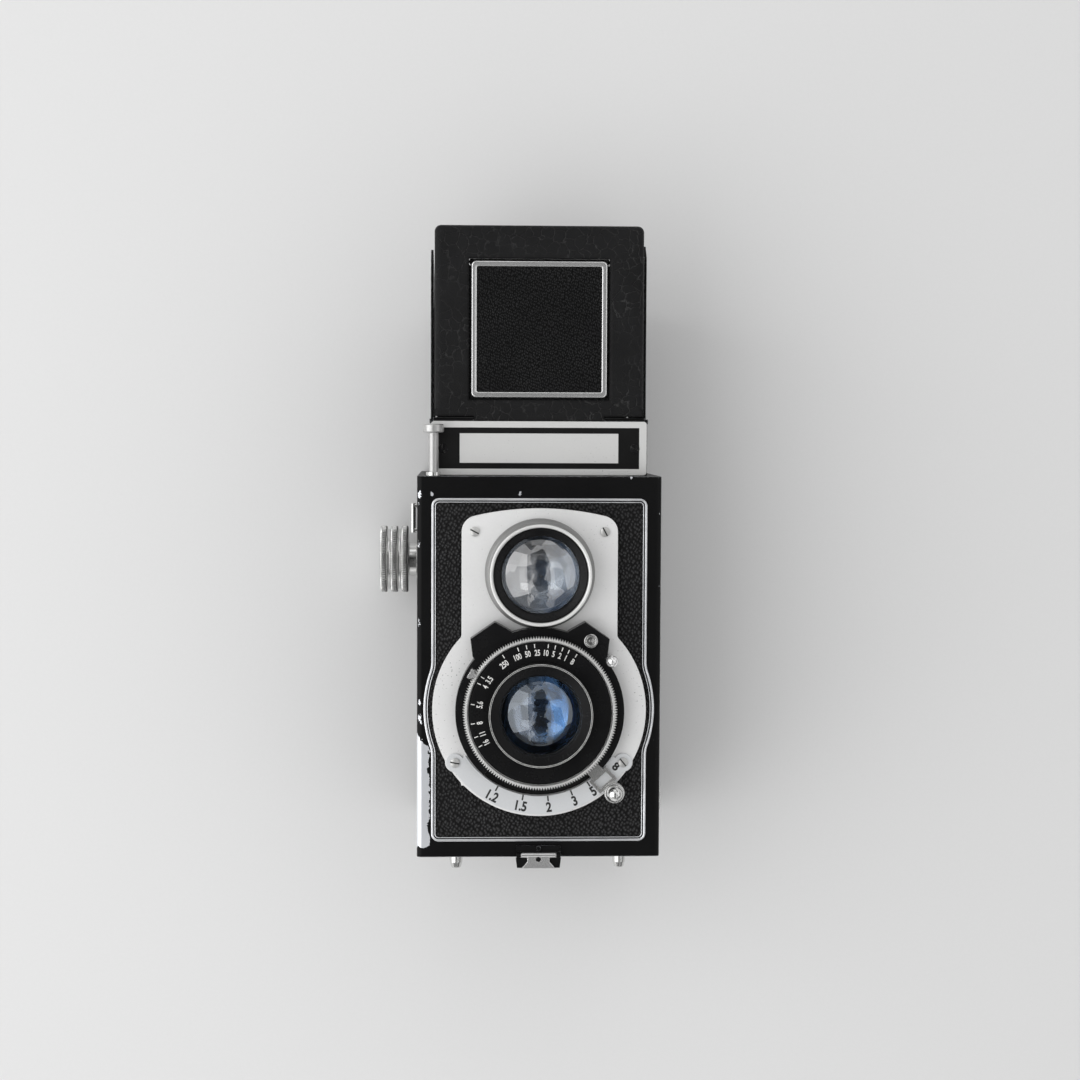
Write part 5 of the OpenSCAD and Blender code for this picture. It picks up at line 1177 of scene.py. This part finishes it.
@dataclass
class Controls:
    """The rings, levers and knobs that the hand moves on the lens board."""

    y: float = BOARD_FACE
    z: float = TAKING_AXIS
    cocking_r: float = 26.9
    cocking_angle: float = 36.0
    arm_half: float = 1.5
    knob_r: float = 34.0
    knob_angle: float = -47.5

    def build(self, looks: Finishes) -> None:
        """Builds and dresses the controls."""
        dress(looks.lever, "focus_lever")
        dress(looks.bright, "aperture_lever")
        self.speed_ring(looks)
        self.cocking(looks)
        self.focus_knob(looks)

    def speed_ring(self, looks: Finishes) -> None:
        """The thin speed ring: a rounded rim cut with fine straight teeth, and its inner flange."""
        profile = rounded([(17.6, 5.9, 0.05), (23.5, 5.9, 0.12), (23.5, 7.75, 0.12), (23.15, 8.0, 0.15),
                           (22.2, 8.0, 0.15), (22.0, 7.8, 0.1), (22.0, 6.5, 0.05), (17.6, 6.5, 0.05)], 3)
        depth = np.where(profile[:, 0] > 22.9, 0.85, 0.0)
        put("speed_ring_cut", Shell().grid(facing(knurled(profile, depth, 180, 4), self.y, self.z), True, True),
            looks.teeth, Body.SPEED, Slot.CHROME, ("speed_ring",), 25)

    def cocking(self, looks: Finishes) -> None:
        """The cocking lever: a flat ring, its arm with a round end, and a turned ball on a necked post."""
        place = partial(facing, y=self.y, z=self.z)
        low, high = 0.6, 2.0
        ring = rounded([(17.8, low, 0.05), (20.2, low, 0.05), (20.2, high, 0.15), (17.8, high, 0.15)], 3)
        shell = lathe(ring, place, 120)
        t = np.pi * (np.linspace(0, 1, 13) - 0.5)
        end = np.stack([self.cocking_r + self.arm_half * np.cos(t), self.arm_half * np.sin(t)], -1)
        edge = np.vstack([[18.8, -self.arm_half], end, [18.8, self.arm_half]])
        shell.grid(place(spin(prism(edge, low, high), self.cocking_angle)), True)
        ball = np.linspace(-0.5 * np.pi + 0.45, 0.5 * np.pi, 20)
        knob = np.vstack([[0.0, 1.9], [1.1, 1.9], [0.9, 2.6], [0.8, 3.0], [0.8, 5.6],
                          np.column_stack([1.85 * np.cos(ball), 7.45 + 1.85 * np.sin(ball)])])
        shell.grid(place(shift(turn(knob, 64), *polar(self.cocking_r, self.cocking_angle))), True)
        put("cocking_lever_turned", shell, looks.bright, Body.COCKING, Slot.CHROME, ("cocking_lever",), 40)

    def focus_knob(self, looks: Finishes) -> None:
        """The focus lever's knurled nut with bevelled ends, and the ball over it."""
        u, v = polar(self.knob_r, self.knob_angle)
        place = partial(facing, y=self.y - 1.9, z=self.z + v, x=u)
        profile = rounded([(0.0, 0.0, 0.0), (2.9, 0.0, 0.1), (3.2, 0.3, 0.1), (3.2, 1.9, 0.1), (2.8, 2.2, 0.15),
                           (0.0, 2.2, 0.0)], 3)
        depth = np.where(profile[:, 0] > 3.0, 0.22, 0.0)
        t = np.linspace(-0.5 * np.pi + 0.2, 0.5 * np.pi, 24)
        ball = np.column_stack([2.4 * np.cos(t), 3.6 + 2.4 * np.sin(t)])
        ball = np.vstack([[0.0, ball[0, 1]], ball])
        shell = Shell().grid(place(knurled(profile, depth, 44, 4)), True).grid(place(turn(ball, 72)), True)
        put("focus_knob_turned", shell, looks.knurl, Body.FOCUS, Slot.CHROME, ("focus_knob",), 30)


@dataclass
class Winding:
    """The winding knob with its three cut rings, its bush, the pull knobs and the strap lugs."""

    y: float = 19.5
    z: float = 88.5
    knob_x: float = -50.7
    knob_t: float = 9.2
    ring_r: float = 11.2
    groove_r: float = 10.0
    groove: float = 1.3
    bore: float = 4.02
    recess: float = 8.6
    pull_x: float = 37.7

    def build(self, looks: Finishes) -> None:
        """Builds and dresses the winding side and the pull knobs."""
        dress(looks.steel, "winding_shaft", "lower_roller", "upper_roller", "door_hinge_pin")
        dress(looks.chrome, "strap_lugs", "winding_bush")
        dress(looks.dull, "take_up_spool", "supply_spool", "hood_pins")
        self.knob(looks)
        self.pulls(looks)

    def knob(self, looks: Finishes) -> None:
        """Three rounded rings with straight cuts, grooves between them and a dished end."""
        corners: list[tuple[float, float, float]] = [(0.0, 0.5, 0.0), (7.5, 0.5, 0.6), (8.6, 0.0, 0.4)]
        ring = (self.knob_t - 2 * self.groove) / 3
        for i in range(3):
            a = i * (ring + self.groove)
            corners += [(self.ring_r, a, 0.55), (self.ring_r, a + ring, 0.55)]
            if i < 2:
                corners += [(self.groove_r, a + ring + 0.2, 0.2), (self.groove_r, a + ring + 1.1, 0.2)]
        corners += [(self.bore, self.knob_t, 0.1), (self.bore, self.recess, 0.0), (0.0, self.recess, 0.0)]
        profile = rounded(corners, 4)
        depth = np.clip((profile[:, 0] - 10.3) / 0.5, 0, 1) * 0.5
        p = knurled(profile, depth, 84, 5)
        put("winding_knob_cut", Shell().grid(sideways(p, self.knob_x, self.y, self.z), True), looks.knurl, Body.ADVANCE,
            Slot.CHROME, ("winding_knob",), 35)

    def pulls(self, looks: Finishes) -> None:
        """The two spool pins' pull knobs on the right side, with their shafts."""
        profile = rounded([(0.0, 1.45, 0.0), (3.4, 1.45, 0.2), (4.0, 1.7, 0.15), (5.0, 1.5, 0.2), (5.0, 0.25, 0.15),
                           (4.6, 0.0, 0.1), (2.4, 0.0, 0.05), (2.4, -11.0, 0.2), (0.0, -11.1, 0.0)], 4)
        depth = np.where((profile[:, 0] > 4.6) & (profile[:, 1] > 0.15), 0.22, 0.0)
        p = knurled(profile, depth, 48, 4)
        for name, node, body, y, z in (("upper_pull_knob", "take_up_pin", Body.UPPER_PULL, self.y, self.z),
                                       ("lower_pull_knob", "supply_pin", Body.LOWER_PULL, -17.0, 15.6)):
            put(name, Shell().grid(sideways(p, self.pull_x, y, z), True), looks.knurl, body, Slot.CHROME, (node,), 35)


@dataclass
class Release:
    """The release rod with its flat head and bush."""

    x: float = -32.5
    y: float = -34.2
    top: float = 133.4

    def build(self, looks: Finishes) -> None:
        """Turns the head and rod as one piece and dresses the bush."""
        profile = rounded([(0.0, 0.0, 0.0), (2.9, -0.05, 0.15), (3.2, -0.35, 0.15), (3.2, -2.3, 0.15),
                           (2.9, -2.6, 0.15), (1.5, -2.7, 0.25), (1.5, -20.8, 0.1), (0.0, -20.9, 0.0)], 5)
        place = partial(upright, x=self.x, y=self.y, z=self.top)
        put("release_turned", lathe(profile, place, 72, False), looks.grey, Body.RELEASE, Slot.CHROME,
            ("release_button",), 35)
        dress(looks.chrome, "release_bush")


@dataclass
class Hood:
    """The hood base with its bare name plate, the flaps, the finder flap's frame and the magnifier."""

    front: float = HOOD_FRONT
    finder_half: float = 20.9
    finder_z: float = FINDER_MIDDLE
    bar: float = 1.6
    bar_rise: float = 0.7
    screw_x: float = 29.6
    screw_z: float = 125.9

    def build(self, looks: Finishes) -> None:
        """Builds and dresses the hood."""
        dress(looks.lacquer, "hood_base", "left_flap", "right_flap", "rear_flap", "magnifier_arm")
        dress(looks.panel, "finder_flap")
        dress(looks.clear, "magnifier_lens")
        dress(looks.screen, "focusing_screen")
        dress(looks.name_plate, "name_plate")
        self.finder_frame(looks)
        self.name_screws(looks)

    def finder_frame(self, looks: Finishes) -> None:
        """The bright finder frame: a rounded bar carried round a square with small corners."""
        profile = rounded([(0.0, 0.0, 0.02), (0.0, self.bar_rise, 0.32), (self.bar, self.bar_rise - 0.1, 0.3),
                           (self.bar, 0.0, 0.02)], 5)
        t = np.radians(np.array([90, 60, 30, 0]))

        def square(inset: float) -> Array:
            """A square with round corners, drawn inwards."""
            r = max(1.3 - inset * 0.5, 0.35)
            h = self.finder_half - inset
            corner = np.stack([h - r + r * np.cos(t), h - r + r * np.sin(t)], -1)
            return np.vstack([corner, (corner * [1, -1])[::-1], corner * [-1, -1], (corner * [-1, 1])[::-1]])

        p = np.stack([np.column_stack([square(d), np.full(4 * len(t), a)]) for d, a in profile], 1)
        put("finder_frame_bar", Shell().grid(facing(p, self.front + self.bar_rise, self.finder_z), True, True),
            looks.bright, Body.FINDER, Slot.CHROME, ("finder_frame",), 40)

    def name_screws(self, looks: Finishes) -> None:
        """The name plate's two blackened screws."""
        heads = [placed(domed_screw(1.45, 0.22, 0.16, 0.35, 0.2, angle),
                        partial(facing, y=self.front - 0.8, z=self.screw_z, x=x))
                 for x, angle in ((-self.screw_x, 20.0), (self.screw_x, 70.0))]
        put("name_plate_screw_heads", joined(heads), looks.enamel, Body.SHELL, Slot.ENAMEL, ("name_plate_screws",), 30)


@dataclass
class Lid:
    """The hood's lid: a pressed sheet with a soft front edge, a skirt on three sides and a square opening."""

    front: float = HOOD_FRONT
    half: float = 32.3
    low: float = 135.8
    skirt_low: float = 138.0
    top: float = 194.5
    corner: float = 2.0
    sheet: float = 0.8
    skirt: float = 4.8
    soft: float = 1.5
    opening: float = 21.7
    opening_z: float = FINDER_MIDDLE
    tongue: float = 20.0
    hinge: tuple[float, float] = (-28.4, 134.3)
    hinge_r: float = 1.2
    finder_axis: tuple[float, float] = (-27.9, 183.35)
    finder_r: float = 0.9
    lug: float = 2.0

    def outline(self) -> Array:
        """The left half of the lid's edge from the middle of its foot to the middle of its top.

        Returns:
            Rows of the edge's point, the way inwards, its rounding, flat border and depth, and the opening's point
            beside it.
        """
        def run(edge: Array, inward: Array, soft: float, pad: float, depth: float, inner: Array) -> Array:
            """One stretch of the edge with the same rounding, flat border and depth."""
            n = len(edge)
            return np.column_stack([edge, np.broadcast_to(inward, (n, 2)), np.full((n, 3), (soft, pad, depth)), inner])

        h, q, c, fillet = self.half, self.opening, self.corner, 0.3
        floor, roof = self.opening_z - q, self.opening_z + q
        up, right, down = np.array([0.0, 1.0]), np.array([1.0, 0.0]), np.array([0.0, -1.0])
        foot = np.array([[0, self.hinge[1]], [-self.tongue, self.hinge[1]], [-self.tongue, self.low], [-h, self.low]])
        foot_in = np.array([[0, floor], [0.5 - self.tongue, floor], [-0.5 - self.tongue, floor], [-q, floor]])
        low = np.array([[-h, self.skirt_low]])
        high = np.column_stack([np.full(9, -h), np.linspace(self.skirt_low, self.top - c, 9)])
        high_in = np.column_stack([np.full(9, -q), np.linspace(floor + 1.0, roof - fillet, 9)])
        t = np.radians(np.linspace(180, 90, 9))[1:-1]
        way = np.stack([np.cos(t), np.sin(t)], -1)
        arc, arc_in = [c - h, self.top - c] + c * way, [fillet - q, roof - fillet] + fillet * way
        over = np.column_stack([np.linspace(c - h, 0, 9), np.full(9, self.top)])
        over_in = np.column_stack([np.linspace(fillet - q, 0, 9), np.full(9, roof)])
        mitre = np.array([up, up, up, up + right])
        hard, border = 0.15, 0.25
        return np.vstack([run(foot, mitre, hard, border, self.sheet, foot_in),
                          run(low, right, hard, self.soft + border - hard, self.sheet, high_in[:1]),
                          run(high, right, self.soft, border, self.skirt, high_in),
                          run(arc, -way, self.soft, border, self.skirt, arc_in),
                          run(over, down, self.soft, border, self.skirt, over_in)])

    def build(self, looks: Finishes) -> None:
        """Carries the sheet's section round the edge, then adds the knuckle, the finder's lugs and its cover."""
        left = self.outline()
        right = left[-2:0:-1] * np.array([-1, 1, -1, 1, 1, 1, 1, -1, 1])
        path = np.vstack([left, right])
        edge, inward, inner = path[:, :2], path[:, 2:4], path[:, 7:]
        soft, pad, depth = path[:, 4:7].T
        none = np.zeros(len(path))
        bend = [(edge + inward * (soft * (1 - math.cos(t)))[:, None], soft * (1 - math.sin(t)))
                for t in np.linspace(0, np.pi / 2, 7)]
        wall = edge + inward * self.sheet
        flat = edge + inward * (soft + pad)[:, None]
        rows = [(edge, depth), *bend, (flat, none), (inner - inward * 0.6, none), (inner - inward * 0.25, none),
                (inner, none + 0.25), (inner, none + self.sheet), (wall, none + self.sheet), (wall, depth)]
        shell = Shell().grid(np.stack([np.column_stack([p[:, 0], self.front + a, p[:, 1]]) for p, a in rows], 1),
                             True, True)
        t = np.linspace(0, 2 * np.pi, 32, endpoint=False)
        ring = np.stack([np.cos(t), np.sin(t)], -1)
        shell.grid(sideways(prism(self.hinge_r * ring, -self.tongue, self.tongue), 0.0, *self.hinge), True)
        back = self.front + self.sheet - self.finder_axis[0]
        half = np.linspace(-np.pi / 2, np.pi / 2, 13)
        lug = np.vstack([self.finder_r * np.stack([np.cos(half), np.sin(half)], -1),
                         [[back, self.finder_r], [back, -self.finder_r]]])
        for x in (-self.opening - self.lug, self.opening):
            shell.grid(sideways(prism(lug, x, x + self.lug), 0.0, *self.finder_axis), True)
        cover = np.array([[back, 1.0], [1.0, 1.0], [1.0, 1.7], [back, 1.7]])
        reach = self.opening + self.lug
        shell.grid(sideways(prism(cover, -reach, reach), 0.0, *self.finder_axis), True)
        put("hood_lid_pressed", shell, looks.creased, Body.LID, Slot.LEATHER, ("hood_lid",), 35)


@dataclass
class Latch:
    """The door latch's bright face over a black backing that fills its sides and its hole."""

    y: float = -38.8
    neck: float = 3.4
    foot: float = 5.2
    hole: float = 0.85
    hole_z: float = -0.45

    def build(self, looks: Finishes) -> None:
        """Builds the face round its hole, and the backing, and dresses the lever and its bracket."""
        dress(looks.bright, "latch_lever")
        dress(looks.matt, "latch_bracket")
        t = np.linspace(0, 2 * np.pi, 24, endpoint=False)
        ring = np.stack([np.cos(t), np.sin(t)], -1)
        sides = [(self.neck, 0.6), (self.neck, -1.3), (self.foot, -3.25), (-self.foot, -3.25), (-self.neck, -1.3),
                 (-self.neck, 0.6)]
        corners = np.array(sides)
        ends = np.roll(corners, -1, 0)
        edge = (corners[:, None] + (ends - corners)[:, None] * np.linspace(0, 1, 4, endpoint=False)[None, :, None])
        edge = edge.reshape(-1, 2)
        turn_to = np.arctan2(edge[:, 1] - self.hole_z, edge[:, 0])
        hole = self.hole * np.stack([np.cos(turn_to), np.sin(turn_to)], -1) + [0.0, self.hole_z]
        rows = [np.column_stack([p, np.full(len(p), a)])
                for p, a in ((edge, 0.0), (edge, 0.1), (edge * 0.98, 0.15), (hole, 0.15), (hole, 0.0))]
        put("latch_face", Shell().grid(facing(np.stack(rows, 1), self.y, 0.0), True, True), looks.bright, Body.LATCH,
            Slot.CHROME, (), 30)
        pan = np.array([[-7.0, -0.15], [-6.6, -3.3], [6.6, -3.3], [7.0, -0.15]])
        backing = Shell().grid(facing(prism(pan, 0.0, 0.4), self.y + 1.2, 0.0), True)
        backing.grid(facing(prism(1.1 * self.hole * ring, 0.0, 0.04), self.y, self.hole_z), True)
        put("latch_backing", backing, looks.matt, Body.LATCH, Slot.PAINT, (), 30)


@dataclass
class BodyAndDoor:
    """The lacquered body and door, their leather, the inner parts and the feet."""

    def build(self, looks: Finishes) -> None:
        """Dresses the nodes."""
        dress(looks.body, "body_shell")
        dress(looks.door, "back_door")
        dress(looks.leather, "front_leather", "side_leather", "back_leather")
        dress(looks.matt, "light_tunnel", "mirror_cradle", "pressure_plate")
        dress(looks.mirror, "mirror")
        dress(looks.brass, "helicoid_mount")
        dress(looks.chrome, "feet", "tripod_bush")


@dataclass
class Studio:
    """The pale sheet that the camera lies on, the lights and the photograph's viewpoint."""

    sheet_y: float = 37.65
    sheet_reach: float = 1500.0
    azimuth: float = -2.282
    elevation: float = 3.15
    distance: float = 619.0
    target: tuple[float, float, float] = (0.144, -37.0, 97.995)
    focal_px: float = 2020.4
    roll: float = 0.233
    picture: float = 1080.0

    def build(self) -> None:
        """Builds the stage."""
        self.sheet()
        self.lights()
        self.world()
        self.camera()
        bpy.context.scene.view_settings.view_transform = "Standard"

    def sheet(self) -> None:
        """A pale sheet behind the back, clear when it is seen from behind, with a window hidden by the body."""
        outer = self.sheet_reach * np.array([[-1, -1], [1, -1], [1, 1], [-1, 1]], float)
        window = np.array([[-31, 7], [31, 7], [31, 109], [-31, 109]], float)
        rows = [np.column_stack([loop[:, 0], np.full(4, self.sheet_y), loop[:, 1]]) for loop in (outer, window)]
        mesh = bpy.data.meshes.new("pale_sheet")
        faces = [(i, (i + 1) % 4, (i + 1) % 4 + 4, i + 4) for i in range(4)]
        mesh.from_pydata((np.vstack(rows) * MM).tolist(), [], faces)
        material, g, shader = fresh("pale_sheet")
        g.feed(shader, base_color=g.mix(g.noise(900.0, 3.0), grey(0.70), grey(0.72)))
        shader.inputs["Roughness"].default_value = 0.8
        clear = g.add("ShaderNodeBsdfTransparent")
        back = g.add("ShaderNodeNewGeometry").outputs["Backfacing"]
        both = g.add("ShaderNodeMixShader", {0: back, 1: shader.outputs[0], 2: clear.outputs[0]})
        g.tree.links.new(both.outputs[0], g.tree.nodes["Material Output"].inputs[0])
        mesh.materials.append(material)
        piece = bpy.data.objects.new("pale_sheet", mesh)
        bpy.context.scene.collection.objects.link(piece)

    def lights(self) -> None:
        """A broad soft light from the left and a weak one from above."""
        for name, at, size, power in (("left_softbox", (-0.85, -0.72, 0.03), (1.4, 1.4), 8.2),
                                      ("top_fill", (0.1, -0.7, 1.2), (0.8, 0.8), 0.8)):
            lamp = bpy.data.lights.new(name, "AREA")
            lamp.shape, lamp.size, lamp.size_y, lamp.energy = "RECTANGLE", size[0], size[1], power
            holder = bpy.data.objects.new(name, lamp)
            away = Vector((0.0, 0.0, 0.1)) - Vector(at)
            holder.matrix_world = Matrix.Translation(at) @ away.to_track_quat("-Z", "Y").to_matrix().to_4x4()
            bpy.context.scene.collection.objects.link(holder)

    def world(self) -> None:
        """A pale room: even to the eye and to soft light, in patches with a dark figure where things mirror it."""
        world = bpy.data.worlds.new("surround")
        world.use_nodes = True
        world.node_tree.nodes.clear()
        g = Graph(world.node_tree)
        way = g.add("ShaderNodeTexCoord").outputs["Generated"]
        x, y, z = g.add("ShaderNodeSeparateXYZ", {0: way}).outputs
        cells = g.add("ShaderNodeTexVoronoi", {"Vector": way, "Scale": 2.6}).outputs["Color"]
        tone = g.step(g.add("ShaderNodeSeparateColor", {0: cells}).outputs[0], 0.15, 0.85, 0.22, 1.12)
        edge = g.times(g.less(g.noise(5.0, 3.0, way), 0.5), 0.5)
        side = g.step(g.math("ABSOLUTE", g.plus(x, edge)), 0.15, 0.19, 1.0, 0.0)
        figure = g.times(g.times(side, g.step(y, -0.6, -0.5, 1.0, 0.0)), g.step(z, 0.3, 0.35, 1.0, 0.0))
        mirrored = g.times(tone, g.step(figure, 0.0, 1.0, 1.0, 0.08))
        path = g.add("ShaderNodeLightPath")
        seen = g.math("MAXIMUM", path.outputs["Is Glossy Ray"], path.outputs["Is Transmission Ray"])
        level = g.mix(seen, grey(0.85), mirrored)
        sky = g.add("ShaderNodeBackground", {0: level, 1: 0.9})
        g.add("ShaderNodeOutputWorld", {0: sky.outputs[0]})
        bpy.context.scene.world = world

    def camera(self) -> None:
        """The camera at the viewpoint fitted to the photograph."""
        a, e = math.radians(self.azimuth), math.radians(self.elevation)
        out = Vector((math.sin(a) * math.cos(e), -math.cos(a) * math.cos(e), math.sin(e)))
        data = bpy.data.cameras.new("viewpoint")
        data.sensor_width, data.sensor_height, data.sensor_fit = 36.0, 36.0, "AUTO"
        data.lens = self.focal_px * data.sensor_width / self.picture
        data.clip_start, data.clip_end = 0.01, 20.0
        holder = bpy.data.objects.new("viewpoint", data)
        turned = (-out).to_track_quat("-Z", "Y").to_matrix().to_4x4() @ Matrix.Rotation(math.radians(self.roll), 4, "Z")
        holder.matrix_world = Matrix.Translation((Vector(self.target) + out * self.distance) * MM) @ turned
        bpy.context.scene.collection.objects.link(holder)
        bpy.context.scene.camera = holder


def main() -> None:
    """Builds each sub-assembly in order."""
    logging.basicConfig(level=logging.INFO, format="%(name)s: %(message)s")
    looks = Finishes()
    for part in (BodyAndDoor(), FrontTrim(), LensBoard(), Controls(), Winding(), Release(), Hood(), Lid(), Latch()):
        LOG.info("building %s", type(part).__name__)
        part.build(looks)
    Studio().build()


if __name__ == "__main__":
    main()
